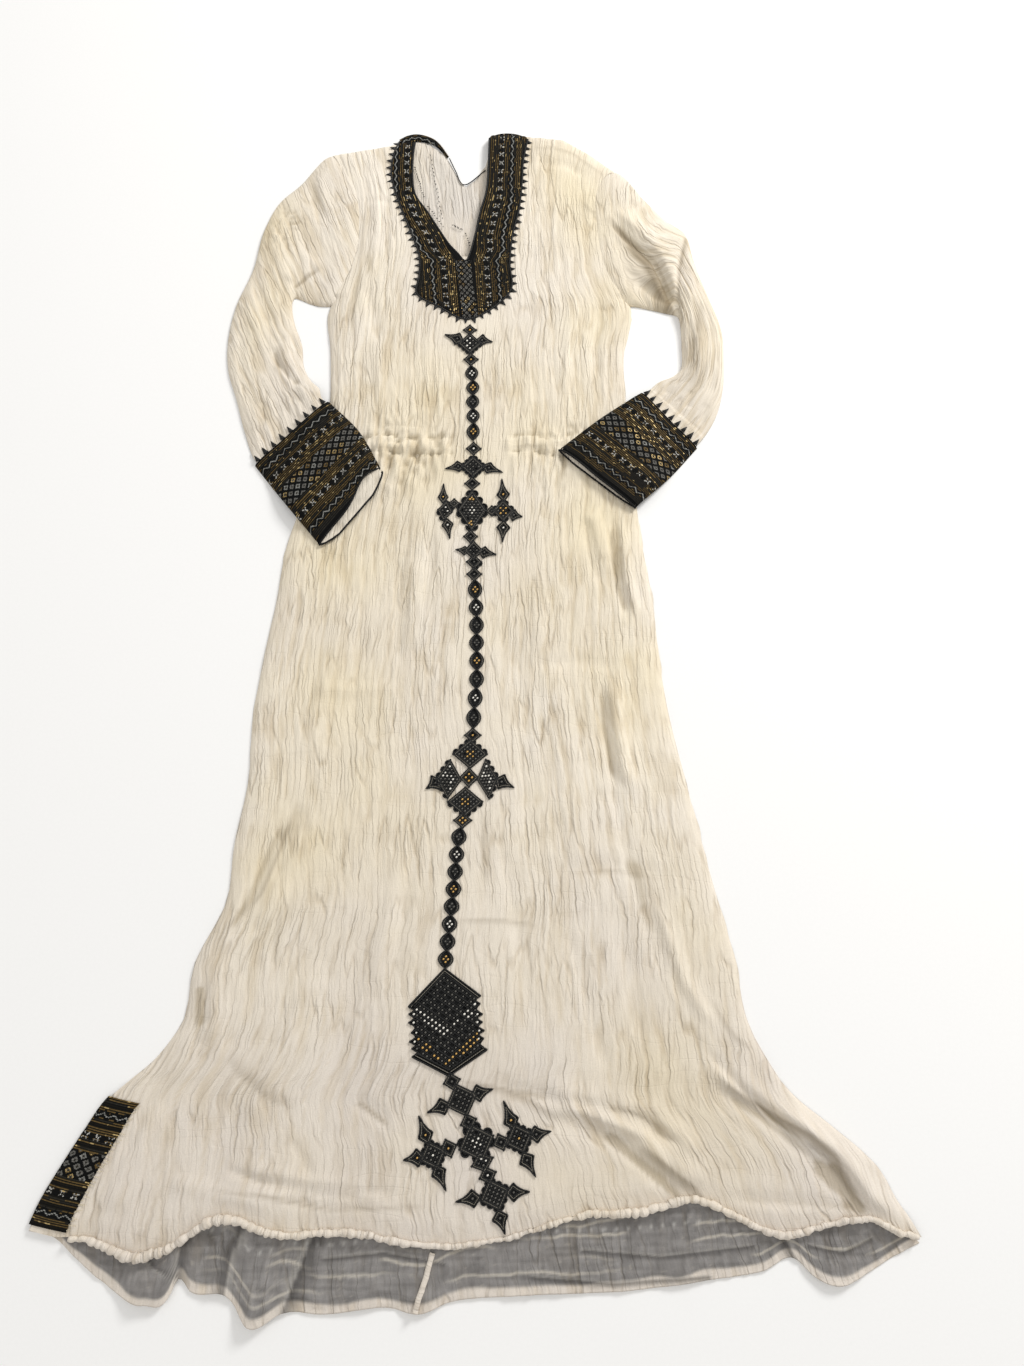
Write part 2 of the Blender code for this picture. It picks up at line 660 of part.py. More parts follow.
def make_back_neck_band():
    """The band's end that turns over the back neckline and lies on the inside of the back."""
    lower = []
    for k, row in enumerate(BACK_NECK_BAND):
        before, after = BACK_NECK_BAND[max(k - 1, 0)], BACK_NECK_BAND[min(k + 1, len(BACK_NECK_BAND) - 1)]
        run = (after["x"] - before["x"], after["y"] - before["y"])
        long = math.hypot(*run)
        inward = (run[1] / long * row["width"], -run[0] / long * row["width"])
        z = WALL + SEAM_GAP
        lower.append([(row["x"] + inward[0], row["y"] + inward[1], z), (row["x"], row["y"], z)])
    upper = [[(x, y, z + BAND_THICK) for x, y, z in row] for row in lower]
    grid_wall("back_neck_band", upper, lower, DARK_BAND)


def make_casing(row, cloth):
    """A gathered channel across the waist: a low welt with puckers."""
    count = 2 * row["gathers"]
    lower, upper = [], []
    for share, welt in ((0.0, 0.9), (0.5, 2.3), (1.0, 0.9)):
        y = row["y"] + (share - 0.5) * row["depth"]
        low = []
        for i in range(count + 1):
            x = mix(row["x0"], row["x1"], i / count)
            low.append((x, y, cloth.height(x, y, reach=8.0) + SEAM_GAP))
        lower.append(low)
        upper.append([(x, y, z + welt + (0.6 if i % 2 else 0.0)) for i, (x, y, z) in enumerate(low)])
    grid_wall(row["name"], upper, lower, CLOTH)


def make_chain(row, cloth):
    """A string of lens-shaped links."""
    run = (row["x1"] - row["x0"], row["y1"] - row["y0"])
    long = math.hypot(*run)
    across = (-run[1] / long, run[0] / long)
    stops = [(k + u, w) for k in range(row["links"]) for u, w in LINK_PROFILE] + [(row["links"], 0.3)]
    lower = []
    for stop, width in stops:
        x = mix(row["x0"], row["x1"], stop / row["links"])
        y = mix(row["y0"], row["y1"], stop / row["links"])
        half = width * row["half_width"]
        z = cloth.height(x, y) + SEAM_GAP
        aside = (across[0] * half, across[1] * half)
        lower.append([(x + aside[0], y + aside[1], z), (x - aside[0], y - aside[1], z)])
    upper = [[(x, y, z + CORD_THICK) for x, y, z in pair] for pair in lower]
    grid_wall(row["name"], upper, lower, CORD)


def spear(corner, out, length):
    """The outline of a spear point on a block's corner, from one side to the other."""
    if length <= 0:
        return [corner]
    side = (-out[1], out[0])
    half = min(5.0, 0.34 * length)
    steps = [
        (-LINK_HALF, -LINK_HALF), (0.32 * length, -half), (length, 0),
        (0.32 * length, half), (-LINK_HALF, LINK_HALF),
    ]
    return [(corner[0] + out[0] * a + side[0] * b, corner[1] + out[1] * a + side[1] * b) for a, b in steps]


def arm_outline(arm):
    """One arm of a cross, from its right side round its end to its left side."""
    if arm["half"] == 0:
        return spear((arm["core"], 0), (1, 0), arm["tip"])
    far, half, core = arm["distance"], arm["half"], arm["core"]
    link_end = max(far - half, core) + LINK_HALF
    neck = [(core - LINK_HALF, LINK_HALF), (link_end, LINK_HALF)]
    outline = [(a, -b) for a, b in neck]
    outline += spear((far, -half), (0, -1), arm["side_a"])
    outline += spear((far + half, 0), (1, 0), arm["tip"])
    outline += spear((far, half), (0, 1), arm["side_b"])
    return outline + neck[::-1]


def lay_outline(name, outline, cloth):
    """A flat outline as a solid on the front."""
    corners = tessellate_polygon([[Vector((x, y, 0)) for x, y in outline]])
    lower = {i: (x, y, cloth.height(x, y) + SEAM_GAP) for i, (x, y) in enumerate(outline)}
    triangles = []
    for a, b, c in corners:
        (ax, ay), (bx, by), (cx, cy) = outline[a], outline[b], outline[c]
        turn = (bx - ax) * (cy - ay) - (by - ay) * (cx - ax)
        triangles.append((a, b, c) if turn > 0 else (a, c, b))
    closed_wall(name, raised(lower, CORD_THICK), lower, triangles, CORD)


def make_motif(row, cloth):
    x_turn, y_turn = math.radians(row["x_turn"]), math.radians(row["y_turn"])
    x_axis = (math.cos(x_turn), math.sin(x_turn))
    y_axis = (-math.sin(y_turn), math.cos(y_turn))
    outline = []
    for arm in ARMS[row["name"]]:
        turn = math.radians(arm["angle"])
        for a, b in arm_outline(arm):
            u = a * math.cos(turn) - b * math.sin(turn)
            v = a * math.sin(turn) + b * math.cos(turn)
            x = row["x"] + u * x_axis[0] + v * y_axis[0]
            y = row["y"] + u * x_axis[1] + v * y_axis[1]
            outline.append((x, y))
    lay_outline(row["name"], outline, cloth)


def make_hexagon(cloth):
    """The six-sided motif, with teeth along every side."""
    middle = (sum(p["x"] for p in HEXAGON) / len(HEXAGON), sum(p["y"] for p in HEXAGON) / len(HEXAGON))
    outline = []
    for a, b in zip(HEXAGON, HEXAGON[1:] + HEXAGON[:1]):
        for k in range(2 * a["teeth"]):
            share = k / (2 * a["teeth"])
            x, y = mix(a["x"], b["x"], share), mix(a["y"], b["y"], share)
            cut = TOOTH / math.dist((x, y), middle) if k % 2 else 0.0
            outline.append((mix(x, middle[0], cut), mix(y, middle[1], cut)))
    lay_outline("embroidery_hexagon", outline, cloth)


def make_side_band(cloth):
    """The hem band where it comes round the left side: flat on the front, and down outside both edges."""
    rings = []
    for row in SIDE_BAND:
        x0, y0 = at(BODY, "y", row["level"], "left"), row["level"]
        top = []
        for share in (1.0, 0.66, 0.33, 0.02):
            x, y = x0 + share * row["width"], y0 + share * row["width"] * SIDE_BAND_SLOPE
            top.append((x, y, cloth.height(x, y, reach=8.0) + SEAM_GAP))
        edge = top[-1][2]
        near, far = x0 - 1.3, x0 - 1.3 - BAND_THICK
        ring = [(x, y, z + BAND_THICK) for x, y, z in top]
        ring += [(far, y0, edge + 0.2), (far, y0, 0.0), (near, y0, 0.0), (near, y0, edge - 0.6)]
        rings.append(ring + top[::-1])
    closed_rings("hem_band_side", rings, DARK_BAND)


def make_hem_roll(front):
    """The rolled edge along the front hem, in soft puckers."""
    roll = HEM_ROLL
    edge = sorted(front[(i, 0)] for i in range(-HALF_COLUMNS, HALF_COLUMNS + 1))
    hem = [dict(x=x, y=y, z=z) for x, y, z in edge]
    count = 2 * roll["puckers"]
    rings = []
    for k in range(count + 1):
        x = mix(roll["start"], roll["end"], k / count)
        radius = roll["thick"] if k % 2 else roll["thin"]
        y = at(hem, "x", x, "y") - roll["thick"] - 3 * SEAM_GAP
        on_back = back_top_at(y) + back_wave(x, y - roll["thick"]) + roll["thick"] + SEAM_GAP
        z = max(at(hem, "x", x, "z") + WALL / 2, on_back)
        turns = [2 * math.pi * i / roll["sides"] for i in range(roll["sides"])]
        rings.append([(x, y + radius * math.cos(t), z + radius * math.sin(t)) for t in turns])
    closed_rings("front_hem_roll", rings, CLOTH)


def make_back_seam():
    """The seam allowance that shows as a ridge inside the back hem."""
    lower = []
    for row in BACK_SEAM:
        pair = []
        for side in (-3.5, 3.5):
            x, y = row["x"] + side, row["y"] - side * 0.3
            pair.append((x, y, back_wave(x, y) + back_top_at(y) + 0.9))
        lower.append(pair[::-1])
    upper = [[(x, y, z + 1.4) for x, y, z in pair] for pair in lower]
    grid_wall("back_seam", upper, lower, CLOTH)


for old in list(bpy.data.objects):
    bpy.data.objects.remove(old, do_unlink=True)
dress = bpy.data.collections.new("habesha_kemis_dress")
bpy.context.scene.collection.children.link(dress)

front_cloth, front_lower = make_front()
make_back()
for body_side in (-1, 1):
    make_sleeve(body_side, front_lower)
    make_cuff(body_side)
make_neck_band(front_cloth)
make_back_neck_band()
for casing in CASINGS:
    make_casing(casing, front_cloth)
for chain in CHAINS:
    make_chain(chain, front_cloth)
for motif in MOTIFS:
    make_motif(motif, front_cloth)
make_hexagon(front_cloth)
make_side_band(front_cloth)
make_hem_roll(front_lower)
make_back_seam()
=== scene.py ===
import math

import bpy
import numpy as np
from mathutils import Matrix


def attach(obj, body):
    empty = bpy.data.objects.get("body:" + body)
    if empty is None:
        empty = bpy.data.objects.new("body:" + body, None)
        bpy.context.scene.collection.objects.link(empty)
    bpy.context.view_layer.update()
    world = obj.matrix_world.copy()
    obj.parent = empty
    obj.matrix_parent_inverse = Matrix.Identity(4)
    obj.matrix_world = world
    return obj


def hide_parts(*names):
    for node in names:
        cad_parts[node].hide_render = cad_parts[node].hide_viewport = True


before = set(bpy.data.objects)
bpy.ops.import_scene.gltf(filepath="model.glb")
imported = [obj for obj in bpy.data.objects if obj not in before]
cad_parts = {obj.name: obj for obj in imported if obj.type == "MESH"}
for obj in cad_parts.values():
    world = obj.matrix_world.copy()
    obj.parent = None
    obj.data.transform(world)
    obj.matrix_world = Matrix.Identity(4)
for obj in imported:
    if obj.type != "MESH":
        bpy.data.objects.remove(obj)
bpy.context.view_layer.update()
mm = 0.001
seeds = dict(front=3, sleeveLeft=11, back=27, tone=31, bands=43, threads=57)


# Small tools for curves, noise and meshes; sizes in them are millimetres.

def rowsOf(columns, rows):
    names = columns.split()
    return {name: np.array([row[i] for row in rows], float) for i, name in enumerate(names)}


def curveAt(keys, values, places):  # a smooth line through a table's values
    keys, values = np.asarray(keys, float), np.asarray(values, float)
    places = np.clip(np.asarray(places, float), keys[0], keys[-1])
    slopes = np.gradient(values, keys, axis=0)
    i = np.clip(np.searchsorted(keys, places, side="right") - 1, 0, len(keys) - 2)
    step = keys[i + 1] - keys[i]
    t = (places - keys[i]) / step
    if values.ndim > 1:
        t, step = t[..., None], step[..., None]
    return ((2 * t ** 3 - 3 * t ** 2 + 1) * values[i] + (t ** 3 - 2 * t ** 2 + t) * step * slopes[i]
            + (3 * t ** 2 - 2 * t ** 3) * values[i + 1] + (t ** 3 - t ** 2) * step * slopes[i + 1])


def softStep(start, end, value):
    t = np.clip((value - start) / (end - start), 0.0, 1.0)
    return t * t * (3 - 2 * t)


def mixed(a, b, share):
    return a + share * (b - a)


def noiseAt(u, v, seed):  # smooth noise from -1 to 1, one bump for each unit of u and v
    table = np.random.default_rng(seed).random((128, 128)) * 2 - 1
    i, j = np.floor(u).astype(int), np.floor(v).astype(int)
    a, b = u - i, v - j
    a, b = a ** 3 * (a * (a * 6 - 15) + 10), b ** 3 * (b * (b * 6 - 15) + 10)
    low = mixed(table[i % 128, j % 128], table[(i + 1) % 128, j % 128], a)
    high = mixed(table[i % 128, (j + 1) % 128], table[(i + 1) % 128, (j + 1) % 128], a)
    return mixed(low, high, b)


# How far each place is from a line of points, its signed side, and its share along
def lineDistance(x, y, points):
    lengths = [math.dist(a, b) for a, b in zip(points, points[1:])]
    total, run = sum(lengths), 0.0
    best, side, along = np.full(x.shape, 1e9), np.zeros(x.shape), np.zeros(x.shape)
    for (x0, y0), (x1, y1), length in zip(points, points[1:], lengths):
        t = np.clip(((x - x0) * (x1 - x0) + (y - y0) * (y1 - y0)) / length ** 2, 0, 1)
        dx, dy = x - mixed(x0, x1, t), y - mixed(y0, y1, t)
        distance = np.hypot(dx, dy)
        nearer = distance < best
        best = np.where(nearer, distance, best)
        side = np.where(nearer, np.sign((x1 - x0) * dy - (y1 - y0) * dx), side)
        along = np.where(nearer, (run + t * length) / total, along)
        run += length
    return best, side, along


def creaseField(x, y, creases):  # listed creases: rounded on one side and sharp on the other
    height = np.zeros(x.shape)
    for points, width, tall, sharp in creases:
        distance, side, along = lineDistance(x, y, points)
        fade = softStep(0, 0.18, along) * softStep(1, 0.82, along)
        wide = np.where(side > 0, width, width * (1 - sharp))
        height += tall * fade * np.exp(-((distance / wide) ** 2))
    return height


# The wavy crinkles of the gauze, along v, from about -1 to 1
def crinkle(u, v, seed, pitch=7.0, length=84.0):
    bent = u + 2.6 * noiseAt(u / 60, v / 110, seed) + 1.15 * noiseAt(u / 13, v / 17, seed + 1)
    coarse = np.abs(noiseAt(bent / pitch, v / length, seed + 2))
    middle = noiseAt(bent / (pitch * 0.52), v / (length * 0.45), seed + 3)
    fine = noiseAt(bent / (pitch * 0.3), v / (length * 0.2), seed + 4)
    cross = noiseAt(u / 26, v / 9, seed + 5) * softStep(0.2, 0.8, noiseAt(u / 60, v / 60, seed + 6))
    return 1.5 * coarse - 0.55 + 0.5 * middle + 0.28 * fine + 0.25 * cross


def meshOf(name, points, faces, uv=None, smooth=True):
    mesh = bpy.data.meshes.new(name)
    faces = np.asarray(faces, np.int32)
    sides = faces.shape[1]
    mesh.vertices.add(len(points))
    mesh.vertices.foreach_set("co", (np.asarray(points, float) * mm).ravel())
    mesh.loops.add(faces.size)
    mesh.loops.foreach_set("vertex_index", faces.ravel())
    mesh.polygons.add(len(faces))
    mesh.polygons.foreach_set("loop_start", np.arange(0, faces.size, sides, dtype=np.int32))
    mesh.update(calc_edges=True)
    mesh.polygons.foreach_set("use_smooth", np.full(len(faces), smooth))
    if uv is not None:
        layer = mesh.uv_layers.new(name="cloth")
        layer.uv.foreach_set("vector", (np.asarray(uv, float) * mm)[faces.ravel()].ravel())
    piece = bpy.data.objects.new(name, mesh)
    bpy.context.scene.collection.objects.link(piece)
    return piece


def gridFaces(rows, columns, first=0, flip=False):
    a = first + (np.arange(rows - 1)[:, None] * columns + np.arange(columns - 1)[None, :])
    quads = np.stack([a, a + 1, a + columns + 1, a + columns], axis=-1).reshape(-1, 4)
    return quads[:, ::-1] if flip else quads


def loopFaces(rows, columns, first=0, flip=False):  # a tube whose rings close on themselves
    k, i = np.meshgrid(np.arange(rows - 1), np.arange(columns), indexing="ij")
    a, b = first + k * columns + i, first + k * columns + (i + 1) % columns
    quads = np.stack([a, b, b + columns, a + columns], axis=-1).reshape(-1, 4)
    return quads[:, ::-1] if flip else quads


def pointValues(piece, name, values):  # a colour or number for each point of a piece
    values = np.asarray(values, float)
    kind, prop = ("FLOAT_VECTOR", "vector") if values.ndim > 1 else ("FLOAT", "value")
    piece.data.attributes.new(name, kind, "POINT").data.foreach_set(prop, values.ravel())


def faceValues(piece, name, values):
    values = np.asarray(values, float)
    kind, prop = ("FLOAT_VECTOR", "vector") if values.ndim > 1 else ("FLOAT", "value")
    piece.data.attributes.new(name, kind, "FACE").data.foreach_set(prop, values.ravel())


def linearColour(hexColour):  # an sRGB hex colour as linear numbers
    parts = [int(hexColour[i:i + 2], 16) / 255 for i in (1, 3, 5)]
    return tuple(p / 12.92 if p <= 0.04045 else ((p + 0.055) / 1.055) ** 2.4 for p in parts)


def addNode(tree, kind, settings=None, **links):  # one node, its settings, and what goes into its sockets
    node = tree.nodes.new(kind)
    for key, value in (settings or {}).items():
        setattr(node, key, value)
    for key, value in links.items():
        name = key.replace("_", " ")
        socket = node.inputs[int(name[2:])] if name.startswith("at") and name[2:].isdigit() else node.inputs[name]
        if isinstance(value, bpy.types.NodeSocket):
            tree.links.new(value, socket)
        else:
            socket.default_value = value
    return node


def newMaterial(name):
    material = bpy.data.materials.new(name)
    material.use_nodes = True
    tree = material.node_tree
    return material, tree, tree.nodes["Principled BSDF"]


# Materials.

def makeGauze():
    # Crinkled cotton gauze, loosely woven by hand and never pressed: matt, soft-edged, with fine wavy
    # ridges and a thread that shows. Its colour is kept on the points, with yellowed and greyed places and
    # painted shade in its valleys and folds; the shader darkens the crinkle valleys again as painted shade.
    material, tree, shader = newMaterial("crinkled cotton gauze")
    tone = addNode(tree, "ShaderNodeAttribute", dict(attribute_name="tone"))
    place = addNode(tree, "ShaderNodeUVMap", dict(uv_map="cloth"))
    # The crinkles kink sideways every 12 mm or so; the finest are 3 mm apart.
    sway = addNode(tree, "ShaderNodeMapping", Vector=place.outputs[0], Scale=(48.0, 84.0, 1.0))
    swayed = addNode(tree, "ShaderNodeTexNoise", Vector=sway.outputs[0], Scale=1.0, Detail=1.0)
    shift = addNode(tree, "ShaderNodeMapRange", Value=swayed.outputs["Fac"], To_Min=-0.0018, To_Max=0.0018)
    aside = addNode(tree, "ShaderNodeCombineXYZ", X=shift.outputs[0])
    bent = addNode(tree, "ShaderNodeVectorMath", dict(operation="ADD"),
                   at0=place.outputs[0], at1=aside.outputs[0])

    def valleys(scale, width, seedShift):  # dark narrow lines where a stretched noise crosses its middle
        moved = addNode(tree, "ShaderNodeMapping", Vector=bent.outputs[0], Scale=(*scale, 1.0),
                        Location=(seedShift, seedShift, 0.0))
        noise = addNode(tree, "ShaderNodeTexNoise", Vector=moved.outputs[0], Scale=1.0,
                        Detail=1.5, Roughness=0.4)
        away = addNode(tree, "ShaderNodeMath", dict(operation="SUBTRACT"),
                       at0=noise.outputs["Fac"], at1=0.5)
        size = addNode(tree, "ShaderNodeMath", dict(operation="ABSOLUTE"), at0=away.outputs[0])
        return addNode(tree, "ShaderNodeMapRange", dict(interpolation_type="SMOOTHSTEP"),
                       Value=size.outputs[0], From_Max=width)

    narrow, wide, level = valleys((165.0, 12.0), 0.075,
                                  0.0), valleys((64.0, 7.5), 0.042, 7.0), valleys((13.0, 46.0), 0.02, 3.0)
    long = addNode(tree, "ShaderNodeMapping", Vector=bent.outputs[0], Scale=(330.0, 40.0, 1.0))
    fine = addNode(tree, "ShaderNodeTexNoise", Vector=long.outputs[0], Scale=1.0,
                   Detail=4.0, Roughness=0.62)
    weave = addNode(tree, "ShaderNodeTexNoise", Vector=place.outputs[0], Scale=900.0, Detail=2.0)
    where = addNode(tree, "ShaderNodeTexNoise", Vector=place.outputs[0], Scale=17.0, Detail=2.0)
    strong = addNode(tree, "ShaderNodeMapRange", Value=where.outputs["Fac"], From_Min=0.36,
                     From_Max=0.62, To_Min=0.25, To_Max=1.0)

    def depth(source, amount):  # how much of the valley's depth is felt here
        flat = addNode(tree, "ShaderNodeMath", dict(operation="SUBTRACT"), at0=1.0, at1=source.outputs[0])
        felt = addNode(tree, "ShaderNodeMath", dict(operation="MULTIPLY"),
                       at0=flat.outputs[0], at1=strong.outputs[0])
        return addNode(tree, "ShaderNodeMath", dict(operation="MULTIPLY"), at0=felt.outputs[0], at1=amount)

    parts = [depth(narrow, 0.55), depth(wide, 1.0), depth(level, 0.14)]
    total = addNode(tree, "ShaderNodeMath", dict(operation="ADD"),
                    at0=parts[0].outputs[0], at1=parts[1].outputs[0])
    total = addNode(tree, "ShaderNodeMath", dict(operation="ADD"),
                    at0=total.outputs[0], at1=parts[2].outputs[0])
    shade = addNode(tree, "ShaderNodeMapRange", Value=fine.outputs["Fac"], From_Min=0.3, From_Max=0.68,
                    To_Min=0.93, To_Max=1.03)
    speck = addNode(tree, "ShaderNodeMapRange", Value=weave.outputs["Fac"], From_Min=0.3, From_Max=0.7,
                    To_Min=0.94, To_Max=1.04)
    both = addNode(tree, "ShaderNodeMath", dict(operation="MULTIPLY"),
                   at0=shade.outputs[0], at1=speck.outputs[0])
    cloth = addNode(tree, "ShaderNodeVectorMath", dict(operation="SCALE"),
                    at0=tone.outputs["Vector"], Scale=both.outputs[0])
    # painted shade: the crinkle valleys darken the cloth's colour towards a brown copy of it
    dark = addNode(tree, "ShaderNodeVectorMath", dict(operation="MULTIPLY"),
                   at0=cloth.outputs[0], at1=(0.62, 0.55, 0.44))
    amount = addNode(tree, "ShaderNodeMath", dict(operation="MULTIPLY"), at0=total.outputs[0], at1=0.35)
    colour = addNode(tree, "ShaderNodeMix", dict(data_type="VECTOR"), Factor=amount.outputs[0],
                     at4=cloth.outputs[0], at5=dark.outputs[0])
    tree.links.new(colour.outputs[1], shader.inputs["Base Color"])
    rough = addNode(tree, "ShaderNodeMapRange", Value=weave.outputs["Fac"], To_Min=0.86, To_Max=1.0)
    tree.links.new(rough.outputs[0], shader.inputs["Roughness"])
    shader.inputs["Specular IOR Level"].default_value = 0.25
    shader.inputs["Sheen Weight"].default_value = 0.1
    shader.inputs["Sheen Roughness"].default_value = 0.6
    low = addNode(tree, "ShaderNodeMath", dict(operation="SUBTRACT"),
                  at0=fine.outputs["Fac"], at1=total.outputs[0])
    ridges = addNode(tree, "ShaderNodeBump", Strength=0.8, Distance=0.0012, Height=low.outputs[0])
    threads = addNode(tree, "ShaderNodeBump", Strength=0.25, Distance=0.0003, Height=weave.outputs["Fac"],
                      Normal=ridges.outputs[0])
    tree.links.new(threads.outputs[0], shader.inputs["Normal"])
    return material


def makeTibeb():
    # Tibeb, a supplementary-weft band of cotton and rayon with gilt thread: each float is a short satin
    # stitch, so it is dark and softly glossy, with single glints where the gilt turns to the light;
    # these glints are shiny and also painted into the thread colour as lighter lengths, painted highlights.
    material, tree, shader = newMaterial("woven tibeb band")
    thread = addNode(tree, "ShaderNodeAttribute", dict(attribute_name="thread"))
    gilt = addNode(tree, "ShaderNodeAttribute", dict(attribute_name="gilt"))
    place = addNode(tree, "ShaderNodeUVMap", dict(uv_map="cloth"))
    # Gilt threads 2.5 mm apart across the band, each with its own turn every 3 mm along it.
    rib = addNode(tree, "ShaderNodeTexWave", dict(bands_direction="X"), Vector=place.outputs[0],
                  Scale=127.0, Distortion=0.8, Detail=1.0)
    long = addNode(tree, "ShaderNodeMapping", Vector=place.outputs[0], Scale=(800.0, 330.0, 1.0))
    grain = addNode(tree, "ShaderNodeTexNoise", Vector=long.outputs[0], Scale=1.0,
                    Detail=3.0, Roughness=0.6)
    light = addNode(tree, "ShaderNodeMapRange", Value=grain.outputs["Fac"], From_Min=0.3, From_Max=0.7,
                    To_Min=0.65, To_Max=1.35)
    colour = addNode(tree, "ShaderNodeVectorMath", dict(operation="SCALE"),
                     at0=thread.outputs["Vector"], Scale=light.outputs[0])
    tree.links.new(colour.outputs[0], shader.inputs["Base Color"])
    rough = addNode(tree, "ShaderNodeMapRange", Value=gilt.outputs["Fac"], To_Min=0.85, To_Max=0.4)
    tree.links.new(rough.outputs[0], shader.inputs["Roughness"])
    metal = addNode(tree, "ShaderNodeMath", dict(operation="MULTIPLY"), at0=gilt.outputs["Fac"], at1=0.45)
    tree.links.new(metal.outputs[0], shader.inputs["Metallic"])
    shader.inputs["Specular IOR Level"].default_value = 0.14
    height = addNode(tree, "ShaderNodeMath", dict(operation="ADD"), at0=rib.outputs["Fac"],
                     at1=grain.outputs["Fac"])
    bump = addNode(tree, "ShaderNodeBump", Strength=0.7, Distance=0.0004, Height=height.outputs[0])
    tree.links.new(bump.outputs[0], shader.inputs["Normal"])
    return material


def makeCord(name, hexColour, hexTwistShade, rough, sheen):
    # Mercerised cotton cord, couched down by hand: two plies twisted once every 2.5 mm, with a soft line of
    # gloss, and painted shade darkening the colour in the groove of each twist.
    material, tree, shader = newMaterial(name)
    along = addNode(tree, "ShaderNodeAttribute", dict(attribute_name="along"))
    turn = addNode(tree, "ShaderNodeTexCoord")
    twist = addNode(tree, "ShaderNodeMath", dict(operation="MULTIPLY"),
                    at0=along.outputs["Fac"], at1=2513.0)
    wave = addNode(tree, "ShaderNodeMath", dict(operation="SINE"), at0=twist.outputs[0])
    fuzz = addNode(tree, "ShaderNodeTexNoise", Vector=turn.outputs["Object"], Scale=900.0, Detail=3.0)
    blend = addNode(tree, "ShaderNodeMapRange", Value=wave.outputs[0], From_Min=-1.0, From_Max=1.0)
    uneven = addNode(tree, "ShaderNodeMath", dict(operation="MULTIPLY"),
                     at0=blend.outputs[0], at1=fuzz.outputs["Fac"])
    # painted shade: the colour runs from the cord's colour to its darker copy in each twist's groove
    colour = addNode(tree, "ShaderNodeMix", dict(data_type="RGBA"), Factor=uneven.outputs[0])
    colour.inputs[6].default_value = (*linearColour(hexTwistShade), 1)
    colour.inputs[7].default_value = (*linearColour(hexColour), 1)
    tree.links.new(colour.outputs[2], shader.inputs["Base Color"])
    loose = addNode(tree, "ShaderNodeMapRange", Value=fuzz.outputs["Fac"],
                    To_Min=rough - 0.1, To_Max=rough + 0.15)
    tree.links.new(loose.outputs[0], shader.inputs["Roughness"])
    shader.inputs["Specular IOR Level"].default_value = 0.35
    shader.inputs["Sheen Weight"].default_value = sheen
    bump = addNode(tree, "ShaderNodeBump", Strength=0.6, Distance=0.0004, Height=wave.outputs[0])
    tree.links.new(bump.outputs[0], shader.inputs["Normal"])
    return material


gauze = makeGauze()
tibeb = makeTibeb()
blackCord = makeCord("couched black cotton cord", "#262624", "#090909", 0.55, 0.0)
darkGround = makeCord("black cotton filling thread", "#161615", "#050505", 0.8, 0.0)
whiteCord = makeCord("white cotton thread", "#fffdf8", "#e2ddcf", 0.75, 0.0)
goldCord = makeCord("gold cotton thread", "#f0c980", "#c79a50", 0.6, 0.0)
greyCord = makeCord("grey cotton thread", "#84817a", "#4c4a45", 0.7, 0.0)
highlightCord = makeCord("thin grey cord for painted highlights", "#a39d90", "#6c675d", 0.7, 0.0)
creamCord = makeCord("cream cotton thread", "#ece3cf", "#cdbf9f", 0.85, 0.0)
print("materials made")


# Geometry Nodes for cords, and for stitches, points and knots that repeat.

def makeCordTree():
    tree = bpy.data.node_groups.new("cordAlongLine", "GeometryNodeTree")
    face = tree.interface
    face.new_socket("Lines", in_out="INPUT", socket_type="NodeSocketGeometry")
    for name, value in (("Cord radius", 0.0008), ("Step", 0.0018)):
        face.new_socket(name, in_out="INPUT", socket_type="NodeSocketFloat").default_value = value
    face.new_socket("Sides", in_out="INPUT", socket_type="NodeSocketInt").default_value = 5
    face.new_socket("Finish", in_out="INPUT", socket_type="NodeSocketMaterial")
    face.new_socket("Cord", in_out="OUTPUT", socket_type="NodeSocketGeometry")
    given = tree.nodes.new("NodeGroupInput").outputs
    line = addNode(tree, "GeometryNodeMeshToCurve", Mesh=given["Lines"])
    even = addNode(tree, "GeometryNodeResampleCurve", dict(mode="LENGTH"),
                   Curve=line.outputs[0], Length=given["Step"])
    run = addNode(tree, "GeometryNodeSplineParameter")
    kept = addNode(tree, "GeometryNodeStoreNamedAttribute", dict(data_type="FLOAT", domain="POINT"),
                   Geometry=even.outputs[0], Name="along", Value=run.outputs["Length"])
    ring = addNode(tree, "GeometryNodeCurvePrimitiveCircle", Resolution=given["Sides"],
                   Radius=given["Cord radius"])
    tube = addNode(tree, "GeometryNodeCurveToMesh", Curve=kept.outputs[0],
                   Profile_Curve=ring.outputs[0], Fill_Caps=True)
    soft = addNode(tree, "GeometryNodeSetShadeSmooth", Geometry=tube.outputs[0], Shade_Smooth=True)
    real = addNode(tree, "GeometryNodeRealizeInstances", Geometry=soft.outputs[0])
    done = addNode(tree, "GeometryNodeSetMaterial", Geometry=real.outputs[0], Material=given["Finish"])
    out = tree.nodes.new("NodeGroupOutput")
    tree.links.new(done.outputs[0], out.inputs["Cord"])
    return tree


